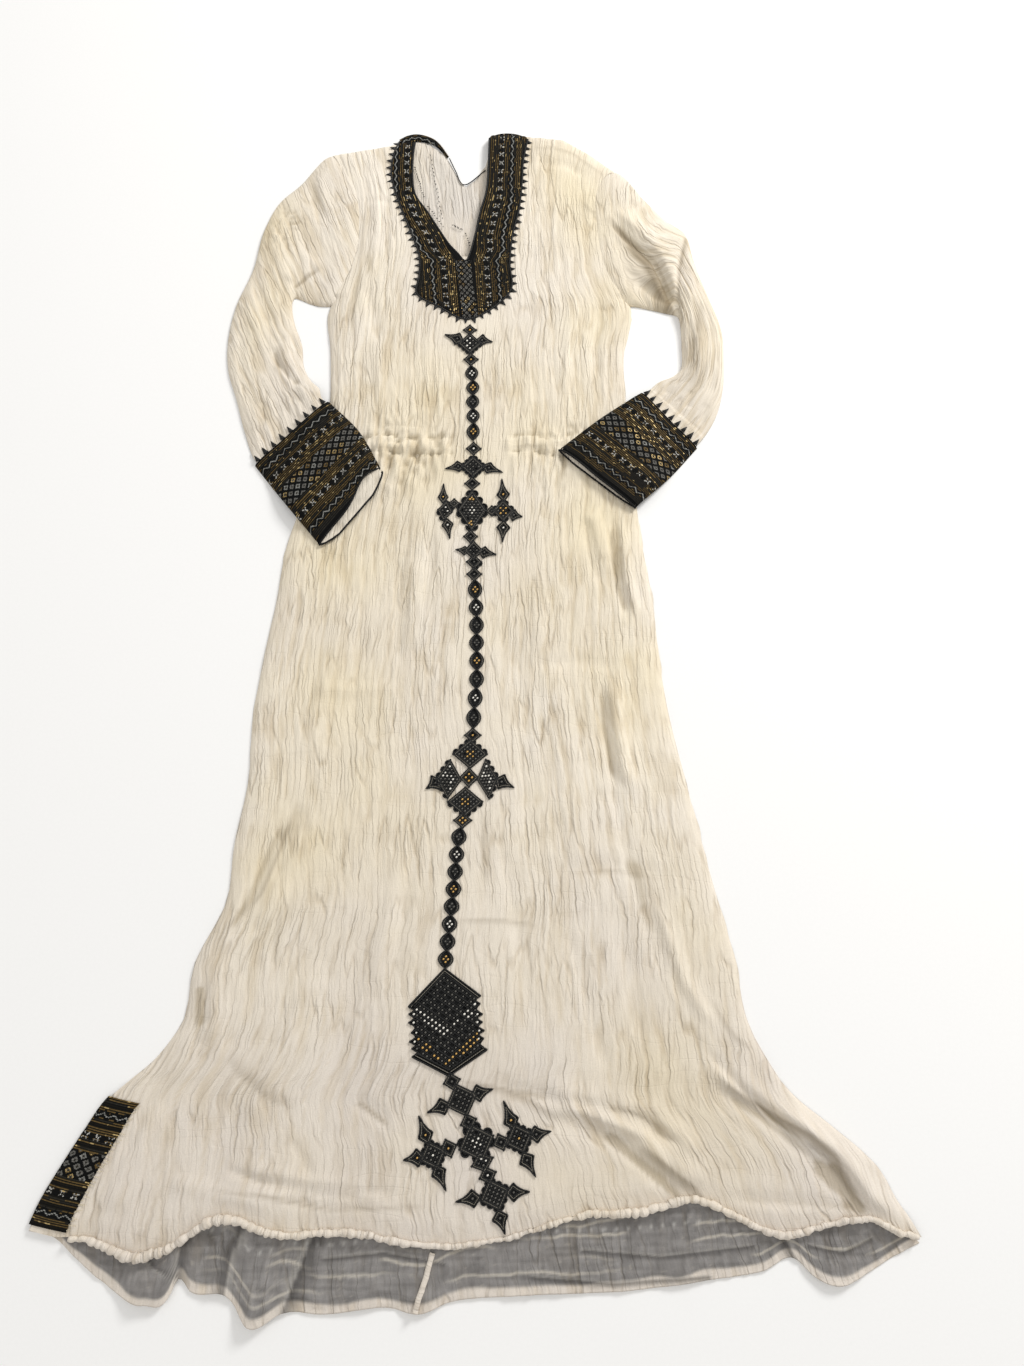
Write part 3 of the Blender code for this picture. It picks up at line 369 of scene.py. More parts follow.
def makeStitchTree():
    tree = bpy.data.node_groups.new("stitchesOnPoints", "GeometryNodeTree")
    face = tree.interface
    face.new_socket("Places", in_out="INPUT", socket_type="NodeSocketGeometry")
    for name, value in (("Length", 0.002), ("Width", 0.0015), ("Height", 0.0012)):
        face.new_socket(name, in_out="INPUT", socket_type="NodeSocketFloat").default_value = value
    face.new_socket("Pointed", in_out="INPUT", socket_type="NodeSocketBool")
    face.new_socket("Unevenness", in_out="INPUT", socket_type="NodeSocketFloat").default_value = 0.12
    face.new_socket("Finish", in_out="INPUT", socket_type="NodeSocketMaterial")
    face.new_socket("Stitches", in_out="OUTPUT", socket_type="NodeSocketGeometry")
    given = tree.nodes.new("NodeGroupInput").outputs
    knot = addNode(tree, "GeometryNodeMeshIcoSphere", Radius=0.5, Subdivisions=1)
    spike = addNode(tree, "GeometryNodeMeshCone", Vertices=5, Radius_Bottom=0.5, Radius_Top=0.04, Depth=1.0)
    turned = addNode(tree, "GeometryNodeTransform", Geometry=spike.outputs["Mesh"],
                     Rotation=(0.0, math.pi / 2, 0.0))
    shape = addNode(tree, "GeometryNodeSwitch", dict(input_type="GEOMETRY"), at0=given["Pointed"],
                    at1=knot.outputs["Mesh"], at2=turned.outputs[0])
    angle = addNode(tree, "GeometryNodeInputNamedAttribute", dict(data_type="FLOAT"), Name="angle")
    spin = addNode(tree, "ShaderNodeCombineXYZ", Z=angle.outputs[0])
    chance = addNode(tree, "FunctionNodeRandomValue", dict(data_type="FLOAT"), Seed=5)
    low = addNode(tree, "ShaderNodeMath", dict(operation="SUBTRACT"), at0=1.0, at1=given["Unevenness"])
    high = addNode(tree, "ShaderNodeMath", dict(operation="ADD"), at0=1.0, at1=given["Unevenness"])
    tree.links.new(low.outputs[0], chance.inputs[2])
    tree.links.new(high.outputs[0], chance.inputs[3])
    size = addNode(tree, "ShaderNodeCombineXYZ", X=given["Length"], Y=given["Width"], Z=given["Height"])
    scaled = addNode(tree, "ShaderNodeVectorMath", dict(operation="SCALE"),
                     at0=size.outputs[0], Scale=chance.outputs[1])
    many = addNode(tree, "GeometryNodeInstanceOnPoints", Points=given["Places"], Instance=shape.outputs[0],
                   Rotation=spin.outputs[0], Scale=scaled.outputs[0])
    real = addNode(tree, "GeometryNodeRealizeInstances", Geometry=many.outputs[0])
    soft = addNode(tree, "GeometryNodeSetShadeSmooth", Geometry=real.outputs[0], Shade_Smooth=True)
    done = addNode(tree, "GeometryNodeSetMaterial", Geometry=soft.outputs[0], Material=given["Finish"])
    out = tree.nodes.new("NodeGroupOutput")
    tree.links.new(done.outputs[0], out.inputs["Stitches"])
    return tree


cordTree, stitchTree = makeCordTree(), makeStitchTree()


def grown(name, source, tree, values):  # runs a tree on a source mesh and keeps the result as a plain mesh
    modifier = source.modifiers.new("grow", "NODES")
    modifier.node_group = tree
    for item in tree.interface.items_tree:
        if item.item_type == "SOCKET" and item.in_out == "INPUT" and item.name in values:
            modifier[item.identifier] = values[item.name]
    evaluated = source.evaluated_get(bpy.context.evaluated_depsgraph_get())
    mesh = bpy.data.meshes.new_from_object(evaluated)
    mesh.name = name
    piece = bpy.data.objects.new(name, mesh)
    bpy.context.scene.collection.objects.link(piece)
    bpy.data.objects.remove(source, do_unlink=True)
    return piece


def cordPiece(name, lines, radius, finish, step=1.8, sides=5):
    points, edges = [], []
    for line in lines:
        first = len(points)
        points += [tuple(p) for p in line]
        edges += [(first + i, first + i + 1) for i in range(len(line) - 1)]
    mesh = bpy.data.meshes.new(name + " lines")
    mesh.from_pydata((np.array(points) * mm).tolist(), edges, [])
    source = bpy.data.objects.new(name + " lines", mesh)
    bpy.context.scene.collection.objects.link(source)
    return grown(name, source, cordTree, {"Cord radius": radius * mm, "Step": step * mm,
                                          "Sides": sides, "Finish": finish})


def stitchPiece(name, places, size, finish, pointed=False, uneven=0.12):
    places = np.array(places, float)  # x, y, z, angle
    mesh = bpy.data.meshes.new(name + " places")
    mesh.from_pydata((places[:, :3] * mm).tolist(), [], [])
    mesh.attributes.new("angle", "FLOAT", "POINT").data.foreach_set("value", places[:, 3])
    source = bpy.data.objects.new(name + " places", mesh)
    bpy.context.scene.collection.objects.link(source)
    return grown(name, source, stitchTree,
                 {"Length": size[0] * mm, "Width": size[1] * mm, "Height": size[2] * mm,
                                            "Pointed": pointed, "Unevenness": uneven, "Finish": finish})


def finishPiece(piece, material, nodes=()):
    if material is not None:
        piece.data.materials.clear()
        piece.data.materials.append(material)
    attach(piece, "root")
    if nodes:
        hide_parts(*nodes)
    return piece


# The body's outline, in millimetres, the same as the solid's.

body = rowsOf("y left neckLeft neckRight right", [
    (-625, -451, 14, 14, 451), (-600, -441, 10, 10, 433), (-560, -419, 5, 5, 408), (-530, -401, 0, 0, 372),
    (-500, -381, -5, -5, 334), (-465, -338, -20, -20, 309), (-430, -313, -28, -28, 291),
    (-366, -303, -33, -33, 280),
    (-300, -273, -27, -27, 264), (-240, -269, -20, -20, 250), (-170, -258, -11, -11, 235),
    (-100, -257, -6, -6, 220),
    (-30, -250, -6, -6, 210), (40, -239, -6, -6, 205), (120, -229, -8, -8, 194), (190, -207, -10, -10, 187),
    (245, -192, -10, -10, 182), (300, -187, -11, -11, 180), (370, -189, -13, -13, 179),
    (440, -192, -14, -14, 189),
    (475, -176, -17, -17, 167), (510, -164, -22, -22, 156), (560, -160, -60, -6, 150),
    (610, -166, -87, 5, 150),
    (650, -182, -91, 7, 160), (690, -200, -89, 8, 176),
])
frontHem = rowsOf("x y", [
    (-451, -625), (-426, -631), (-392, -632), (-331, -648), (-283, -626), (-268, -617), (-191, -629),
    (-125, -626), (-62, -636), (0, -637), (67, -622), (113, -610), (170, -607), (229, -596), (253, -605),
    (304, -627), (367, -617), (402, -614), (432, -626), (451, -632),
])
backHem = rowsOf("x y", [
    (-451, -627), (-426, -632), (-400, -652), (-373, -672), (-327, -692), (-302, -684), (-297, -672),
    (-282, -682), (-245, -686), (-222, -711), (-187, -700), (-152, -702), (-86, -696), (-53, -701),
    (-22, -691), (31, -686), (167, -680), (230, -672), (292, -663), (324, -652), (342, -668), (366, -676),
    (396, -665), (424, -650), (451, -638),
])
shoulder = rowsOf("x y", [
    (-200, 668), (-120, 684), (-89, 690), (8, 700), (60, 698), (107, 693), (140, 671), (176, 641),
])
backNeck = rowsOf("x y", [
    (-200, 668), (-120, 684), (-105, 690), (-74, 688), (-49, 668), (-32, 633), (-22, 618), (-10, 629),
    (4, 652), (14, 694), (60, 698), (107, 693), (140, 671), (176, 641),
])


def edgeAt(level, side):
    return curveAt(body["y"], body[side], level)


def panelY(level, x, hem, hemStart, top):
    share = np.clip((level - hemStart) / (-625 - hemStart), 0, 1)
    low = mixed(hemStart, curveAt(hem["x"], hem["y"], x), share)
    up = np.clip((level - 510) / 180, 0, 1) ** 2 * (np.interp(x, top["x"], top["y"]) - 690)
    return np.where(level < hemStart, low, level + up)


# The front.

frontLook = dict(rows=424, columns=232, top=7.0, crinkle=0.9, edgeRound=24.0,
                 hemEdge=4.6, foldStrength=1.25)
frontCreases = [  # points, width, height, how much sharper the right-hand side is
    ([(66, -500), (110, -512), (150, -528), (195, -560), (236, -592)], 17, 6.0, 0.35),
    ([(64, -512), (120, -530), (168, -548), (220, -590)], 10, -2.6, 0.0),
    ([(135, -506), (180, -514), (214, -540), (240, -556)], 11, 3.0, 0.3),
    ([(240, -468), (282, -494), (330, -530), (372, -566)], 15, 4.6, 0.5),
    ([(250, -490), (300, -520), (350, -556), (380, -600)], 9, -3.2, 0.2),
    ([(318, -500), (366, -545), (404, -590), (432, -622)], 17, 6.0, 0.4),
    ([(345, -560), (385, -596), (402, -616)], 8, -3.0, 0.0),
    ([(-90, 82), (-92, 30), (-95, -36)], 7, -2.4, 0.3),
    ([(-74, 100), (-76, 50), (-80, -20)], 9, 1.8, 0.3),
    ([(-58, 130), (-56, 70), (-58, 10)], 8, -1.8, 0.3),
    ([(140, -52), (147, -110), (157, -180)], 8, -1.6, 0.4),
    ([(154, -40), (162, -110), (174, -190)], 10, 2.4, 0.2),
    ([(-197, -190), (-206, -230), (-222, -282)], 9, -2.4, 0.3),
    ([(-208, -204), (-226, -240), (-248, -300), (-276, -345)], 9, -2.8, 0.3),
    ([(-190, -220), (-210, -270), (-236, -335)], 12, 2.2, 0.2),
    ([(-294, -380), (-295, -420), (-290, -458)], 9, -2.4, 0.3),
    ([(-280, -350), (-278, -420), (-268, -470)], 12, 2.0, 0.2),
    ([(-126, -500), (-106, -514), (-86, -528)], 8, -2.4, 0.2),
    ([(-150, 60), (-172, -40), (-196, -150)], 13, 1.8, 0.2),
    ([(-128, 20), (-140, -80), (-158, -200)], 10, -1.3, 0.2),
    ([(60, 60), (84, -60), (110, -200), (120, -320)], 14, 1.5, 0.2),
    ([(40, 20), (52, -120), (60, -260)], 11, -1.2, 0.2),
    ([(-170, -360), (-196, -440), (-240, -540)], 15, 2.2, 0.2),
    ([(-120, -330), (-136, -420), (-150, -500)], 11, -1.5, 0.2),
    ([(190, -320), (216, -390), (250, -456)], 12, 2.2, 0.3),
    ([(150, -300), (166, -380), (176, -450)], 11, -1.7, 0.2),
    ([(-245, -560), (-190, -578), (-120, -590), (-86, -596)], 9, 1.8, 0.1),
    ([(-320, -575), (-262, -592), (-200, -604)], 9, 1.6, 0.1),
    ([(-330, -500), (-350, -560), (-372, -610)], 12, 2.0, 0.3),
    ([(-240, -500), (-262, -560), (-270, -606)], 10, -1.6, 0.2),
    ([(60, -36), (110, -30), (170, -38)], 8, -1.1, 0.1),
    ([(90, -268), (150, -262), (214, -274)], 9, -1.2, 0.1),
    ([(-190, -60), (-140, -66), (-90, -60)], 8, 1.0, 0.1),
    ([(-120, 400), (-126, 350), (-122, 300), (-118, 262)], 9, 1.5, 0.2),
    ([(-150, 470), (-138, 430), (-130, 380)], 8, -1.8, 0.3),
    ([(120, 470), (112, 400), (104, 330), (96, 262)], 9, 1.5, 0.2),
    ([(150, 450), (146, 400), (140, 330)], 8, -1.5, 0.3),
    ([(-148, 600), (-152, 540), (-150, 480)], 7, -2.6, 0.5),
    ([(-140, 610), (-142, 540), (-140, 470)], 8, 1.6, 0.1),
    ([(-158, 592), (-140, 594), (-118, 592)], 5, -1.3, 0.1),
    ([(126, 150), (132, 100), (146, 60)], 8, -2.2, 0.2),
    ([(130, 160), (142, 130), (150, 90)], 9, 1.8, 0.2),
    ([(66, 652), (110, 650), (140, 628)], 7, -1.2, 0.3),
    ([(160, 151), (158, 116), (163, 65), (174, 17)], 6, -3.4, 0.3),
    ([(172, 148), (171, 112), (177, 62), (186, 17)], 9, 3.0, 0.5),
    ([(138, -51), (142, -98), (148, -144), (155, -178)], 5, -2.0, 0.3),
    ([(152, -55), (155, -100), (161, -150), (167, -178)], 9, 3.0, 0.4),
    ([(5, -486), (69, -500), (144, -509), (183, -521), (206, -572), (236, -595)], 8, -2.6, 0.3),
    ([(69, -500), (144, -532), (182, -549)], 7, -2.4, 0.3),
    ([(130, -530), (165, -560), (205, -592), (222, -604)], 8, -3.6, 0.4),
    ([(-262, -566), (-215, -582), (-160, -592), (-100, -598)], 4.5, -2.4, 0.3),
    ([(-225, -576), (-170, -584), (-110, -590), (-70, -590)], 4.5, -1.8, 0.2),
    ([(-196, -598), (-150, -603), (-100, -606)], 4, -1.6, 0.2),
    ([(-190, -540), (-176, -560), (-164, -580)], 5, -1.4, 0.2),
    ([(150, -160), (162, -240), (182, -320), (206, -390)], 7, -1.9, 0.3),
    ([(170, -230), (186, -310), (214, -390), (246, -450)], 7, -2.0, 0.3),
    ([(196, -300), (222, -380), (258, -440)], 8, 2.0, 0.3),
    ([(90, -501), (160, -522), (225, -549)], 7, -2.4, 0.3),
    ([(240, -452), (275, -490), (309, -520), (362, -556), (388, -596), (400, -618)], 8, -4.6, 0.7),
    ([(253, -596), (320, -600), (402, -606)], 7, -2.2, 0.3),
    ([(-295, -386), (-289, -432)], 7, -2.6, 0.3),
    ([(-312, -440), (-336, -500), (-360, -560)], 8, -2.2, 0.3),
    ([(-80, -230), (-96, -320), (-108, -400)], 10, 1.6, 0.2),
    ([(-66, -230), (-80, -320), (-90, -400)], 7, -1.8, 0.2),
    ([(30, -240), (44, -330), (62, -430)], 9, -1.6, 0.2),
    ([(100, -330), (124, -420), (138, -480)], 8, -1.8, 0.2),
]
# Painted shadows where a fold lies over: points, the shaded side (1 is right or above), its reach and strength
frontEdges = [
    ([(258, -484), (290, -503), (318, -520), (346, -534), (371, -555), (383, -578),
      (401, -612)], -1, 12, 0.85),
    ([(131, -507), (160, -511), (187, -524), (208, -542)], -1, 6, 0.55),
    ([(172, -543), (206, -570), (227, -586), (240, -602)], -1, 15, 0.8),
    ([(-270, -585), (-247, -589), (-218, -592), (-186, -598), (-148, -605), (-97, -604),
      (-48, -602)], -1, 5, 0.55),
    ([(252, -400), (262, -420), (276, -440), (292, -452)], -1, 9, 0.45),
    ([(-95, 184), (-83, 166), (-85, 111), (-92, 69), (-97, 27)], 1, 7, 0.4),
    ([(-56, 153), (-52, 111), (-58, 69), (-65, 7)], 1, 5, 0.4),
    ([(-150, 585), (-154, 540), (-155, 476), (-161, 424), (-155, 373)], -1, 6, 0.5),
    ([(33, 242), (60, 243), (90, 241)], -1, 4, 0.4),
    ([(128, 598), (136, 588), (144, 579), (158, 576), (171, 576)], -1, 8, 0.4),
    ([(59, 676), (92, 679), (120, 669), (142, 650), (161, 634)], -1, 7, 0.35),
    ([(-200, 662), (-195, 642), (-187, 630)], 1, 9, 0.4),
    ([(150, 585), (165, 566), (178, 548)], -1, 12, 0.4),
    ([(-200, -196), (-216, -246), (-233, -294), (-253, -318)], -1, 8, 0.55),
    ([(-210, -306), (-212, -338), (-215, -366)], -1, 6, 0.45),
    ([(-262, -462), (-247, -478), (-210, -504), (-185, -513)], 1, 18, 0.4),
    ([(-125, -504), (-113, -508), (-99, -519), (-85, -528)], -1, 6, 0.65),
    ([(-20, -319), (32, -320), (68, -325)], -1, 8, 0.4), ([(7, -200), (5, -253), (10, -286)], 1, 14, 0.4),
    ([(-12, -483), (32, -491), (62, -504), (89, -521)], -1, 11, 0.6),
    ([(100, -270), (150, -266), (206, -276)], -1, 8, 0.3),
]
waist = dict(y=245.0, half=9.0, ranges=[(-150, -36), (32, 150)], pucker=2.2, pitch=8.5, gatherBelow=95.0)
calmSpots = [  # where embroidery holds the cloth flat: x, y, half width, half height
    (-16, 470, 70, 52), (-14, 388, 36, 34), (-11, 304, 12, 60), (-10, 165, 56, 92), (-6, -20, 12, 94),
    (-11, -163, 44, 58), (-26, -300, 14, 80), (-30, -427, 48, 56), (3, -545, 82, 84),
]


pulls = dict(  # where a knot or stitch gathers the cloth round itself: x, y, reach, number of small folds
    front=[(-96, 262, 30, 13), (-78, 240, 20, 9), (-118, 248, 22, 11), (100, 247, 24, 11),
           (124, 238, 22, 9), (-52, 252, 14, 7)],
    sleeve=[(-258, 572, 18, 9), (-252, 556, 17, 8), (-262, 540, 13, 7)],
)


def pulled(x, y, places):  # small folds that run out from each knot
    total = np.zeros(x.shape)
    for k, (cx, cy, reach, count) in enumerate(places):
        far = np.hypot(x - cx, y - cy)
        turn = np.arctan2(y - cy, x - cx)
        rays = 0.6 * np.sin(count * turn + 3.2 * noiseAt(x / 12 + k, y / 12, 75)) * softStep(3, 14, far)
        crumple = 1.1 * noiseAt(x / 5.5 + k, y / 5.5, 76) + 0.5 * noiseAt(x / 3.2, y / 3.2 + k, 77)
        total += (rays + crumple) * np.exp(-((far / reach) ** 2))
    return total


def waistRelief(x, y):  # the gathered channel: two stitched lines with a puckered welt between
    inRange = sum(softStep(a - 12, a + 12, x) * softStep(b + 12, b - 12, x) for a, b in waist["ranges"])
    inRange = inRange * (0.75 + 0.4 * noiseAt(x / 23, y / 60, 70) + 0.5 * softStep(-60, -80, x))
    off = y - waist["y"] - 4.5 * noiseAt(x / 30, y * 0, 71)
    pucker = noiseAt(x / waist["pitch"], off / 26,
                     72) + 0.6 * noiseAt(x / (waist["pitch"] * 0.5), off / 12, 73)
    pucker = pucker + 0.9 * softStep(-60, -80, x) * noiseAt((x + 0.5 * y) / 11, (y - 0.4 * x) / 9, 74)
    welt = 2.0 * np.exp(-((off / waist["half"]) ** 4)) - 1.5 * np.exp(-(((np.abs(off)
            - waist["half"] - 1.5) / 2.2) ** 2))
    below = softStep(-waist["gatherBelow"], -6, off) * softStep(30, 2, off)
    gathered = inRange * (welt + waist["pucker"] * pucker
                          * np.clip(below + 0.6 * np.exp(-((off / 14) ** 2)), 0, 1))
    return gathered + 1.5 * pulled(x, y, pulls["front"])


def foldShade(x, y, edges):  # the shade beside each fold that lies over, darkest at the fold
    shade = np.zeros(x.shape)
    for line, darkSide, reach, strength in edges:
        far, signed, along = lineDistance(x, y, line)
        ends = np.clip(5 * along * (1 - along), 0, 1) ** 0.6
        shade += strength * softStep(reach, 0, far) * softStep(-2.4, 1.6, far * signed * darkSide) * ends
    return shade


def frontBase(x, y):  # the front's height without its crinkles
    level = np.clip(y, -625, 690)
    left, right = edgeAt(level, "left"), edgeAt(level, "right")
    fromSide = np.clip(np.minimum(x - left, right - x), 0, None)
    low = np.where(level > 452, 6.4, 0.6)
    turn = 1 - (1 - np.clip(fromSide / frontLook["edgeRound"], 0, 1)) ** 2
    inside = softStep(0, 34, fromSide)
    relief = frontLook["foldStrength"] * creaseField(x, y, frontCreases)
    relief = np.where(relief < 0, -2.7 * np.tanh(-relief / 2.7), relief)
    height = mixed(low, frontLook["top"], np.sqrt(turn)) + inside * relief
    fromShoulder = np.interp(x, shoulder["x"], shoulder["y"]) - y
    height = mixed(1.9, height, np.sqrt(1 - (1 - np.clip(fromShoulder / 24, 0, 1)) ** 2))
    fromHem = y - curveAt(frontHem["x"], frontHem["y"], x)
    return np.maximum(mixed(frontLook["hemEdge"], height, softStep(-4, 22, fromHem)), 0.5)


# U across the cloth and v along it, with the flare spread over its threads
def clothCoordinates(x, y, level):
    left, right = edgeAt(level, "left"), edgeAt(level, "right")
    middle, half = (left + right) / 2, (right - left) / 2
    return (x - middle) * (185.0 / half) ** 0.45 + 600.0, y + 900.0


def frontCrinkle(x, y, level):
    u, v = clothCoordinates(x, y, level)
    calm = np.ones(x.shape)
    for cx, cy, halfX, halfY in calmSpots:
        away = np.maximum(np.abs(x - cx) / halfX, np.abs(y - cy) / halfY)
        calm = np.minimum(calm, 0.12 + 0.88 * softStep(0.9, 1.5, away))
    strength = 0.8 + 0.35 * noiseAt(x / 120, y / 160,
                                    81) + 0.25 * softStep(40, 150, x) * softStep(250, 330, y)
    left, right = edgeAt(level, "left"), edgeAt(level, "right")
    edge = softStep(0, 26, np.minimum(x - left, right - x))
    strength = strength * (1 - 0.6 * softStep(70, 130, x)
                           * softStep(500, 570, y)) * (1 - 0.3 * softStep(-40, -240, y))
    return frontLook["crinkle"] * calm * strength * (0.25 + 0.75 * edge) * crinkle(u, v, seeds["front"])


def toneOf(x, y, valley, seed, grey=0.0, fold=0.0, shade=0.0):  # the cloth's colour at each point, with painted shade in its crinkle valleys, folds and beside folds that lie over
    cream, yellow = np.array(linearColour("#efe5d5")), np.array(linearColour("#ebdaae"))
    cool, valleyShade = np.array(linearColour("#d7cdc3")), np.array(linearColour("#bda67a"))
    spots = [  # where the cloth has yellowed: x, y, reach, strength
        (175, -470, 55, 0.9), (232, -540, 60, 0.9), (120, -590, 50, 0.6),
        (-260, 420, 60, 0.5), (-290, 560, 50, 0.9),
        (-60, 235, 60, 0.6), (70, 240, 70, 0.5), (150, 130, 70, 0.7),
        (-150, 120, 80, 0.6), (-160, -60, 90, 0.6),
        (180, -60, 70, 0.5), (150, 560, 60, 0.5), (100, 640, 70, 0.6),
        (-120, 300, 60, 0.4), (170, 430, 60, 0.7),
        (280, 400, 60, 0.3), (-210, -260, 60, 0.5), (40, 330, 50, 0.3),
        (300, 520, 40, 0.3), (240, -350, 60, 0.3),
        (-60, 330, 50, 0.3), (-130, -220, 70, 0.3), (60, 20, 60, 0.4),
    ]
    warm = 0.07 + 0.12 * noiseAt(x / 70 + 20, y / 95 + 30,
                                 seed) + 0.07 * noiseAt(x / 22 + 9, y / 26 + 7, seed + 1)
    for cx, cy, reach, strength in spots:
        warm += 0.7 * strength * np.exp(-((x - cx) ** 2 + (y - cy) ** 2) / reach ** 2)
    chill = 0.14 + 0.42 * softStep(-160, -540,
                                   y) + 0.16 * noiseAt(x / 60 + 50, y / 80 + 40, seed + 2) + grey
    colour = mixed(cream, yellow, np.clip(warm, 0, 1)[..., None])
    colour = mixed(colour, cool, np.clip(chill, 0, 0.8)[..., None])
    # painted shade: crinkle valleys, creased folds and the shade beside folds that lie over darken the cloth
    colour = mixed(colour, valleyShade, np.clip(valley, 0, 1)[..., None] * 0.3)
    colour = mixed(colour, np.array(linearColour("#94825f")), np.clip(fold + 0 * x, 0, 1)[..., None] * 0.5)
    return mixed(colour, np.array(linearColour("#7b6b51")), np.clip(shade + 0 * x, 0, 1)[..., None] * 0.75)


def makeFront():
    rows, columns = frontLook["rows"], frontLook["columns"]
    level = np.linspace(-625, 690, rows)[:, None] + np.zeros((1, columns))
    share = np.linspace(0, 1, columns)[None, :] + np.zeros((rows, 1))
    ragged = 1.3 * noiseAt(level / 17, share * 0 + 3, 5) + 1.0 * noiseAt(level / 46, share * 0 + 8, 6)
    left = edgeAt(level, "left") + ragged * softStep(0.06, 0, share)
    right = edgeAt(level, "right") + ragged * softStep(0.94, 1, share)
    x = mixed(left, right, share)
    y = panelY(level, x, frontHem, -560, shoulder)
    crease = frontCrinkle(x, y, level)
    z = frontBase(x, y) + crease + waistRelief(x, y) * softStep(0, 26, np.minimum(x - left, right - x))
    z = np.maximum(z, 0.45)
    points = np.stack([x, y, z], axis=-1).reshape(-1, 3)
    u, v = clothCoordinates(x, y, level)
    faces = gridFaces(rows, columns)
    middle = points[faces].mean(axis=1)
    hole = (middle[:, 1] > 508) & (middle[:, 0] > curveAt(body["y"], body["neckLeft"], middle[:, 1]) - 7)
    hole &= middle[:, 0] < curveAt(body["y"], body["neckRight"], middle[:, 1]) + 7
    hole &= middle[:, 1] > 508 + 0.5 * np.abs(middle[:, 0] + 20)
    faces = faces[~hole]
    piece = meshOf("frontCloth", points, faces, np.stack([u, v], axis=-1).reshape(-1, 2))
    # painted shade in the crinkle valleys, the creases, the waist's gathers and beside the folds that lie over
    valley = softStep(0.1, -0.75, crease / frontLook["crinkle"])
    fold = softStep(-1.5, -3.4,
                    creaseField(x, y, frontCreases)) + 0.85 * softStep(-0.2, -1.7, waistRelief(x, y))
    tone = toneOf(x, y, valley, seeds["tone"], 0.0, fold, foldShade(x, y, frontEdges))
    pointValues(piece, "tone", tone.reshape(-1, 3))
    finishPiece(piece, gauze, ("front_panel", "waist_casing_left", "waist_casing_right"))
    return piece


frontCloth = makeFront()
print("front made")

# The back.

backLook = dict(hemRows=56, bandRows=29, rows=62, columns=296, wall=1.2, crinkle=0.75, bandTop=1.7)
backFolds = [
    ([(-296, -628), (-336, -702)], 21, 9.0), ([(-232, -628), (-262, -692)], 14, 5.0),
    ([(-170, -628), (-224, -716)], 17, 10.0),
    ([(-100, -640), (-116, -705)], 18, 3.0), ([(-40, -640), (-54, -706)], 14, 4.0),
    ([(60, -640), (70, -690)], 34, 2.4),
    ([(196, -630), (214, -682)], 26, 3.4), ([(322, -620), (366, -684)], 24, 9.0),
]


# Folds that lie over on the back's hem, with painted shadow on one side and painted light on the other: points,
# the shaded side (1 is right or above), how far it reaches
backEdges = [
    ([(-294, -618), (-296, -652), (-297, -678)], 1, 17),
    ([(-229, -618), (-245, -651), (-248, -680)], -1, 18),
    ([(-158, -618), (-175, -664), (-190, -700)], 1, 20), ([(310, -622), (323, -649), (334, -664)], -1, 14),
    ([(-150, -652), (-90, -646), (-30, -656)], -1, 6), ([(60, -668), (140, -674), (235, -668)], -1, 7),
    ([(110, -644), (190, -650), (280, -640)], -1, 6), ([(-350, -636), (-320, -660), (-300, -668)], 1, 7),
    ([(340, -640), (372, -646), (400, -634)], -1, 6),
]


def backLift(x, y):
    lift = sum(tall * np.exp(-((lineDistance(x, y, line)[0] / wide) ** 2))
               for line, wide, tall in backFolds)
    return lift * softStep(-650, -695, y)


def backLow(x, y, level):
    return backLook["bandTop"] * softStep(-625, -613, level) * softStep(-478, -492, level) + backLift(x, y)


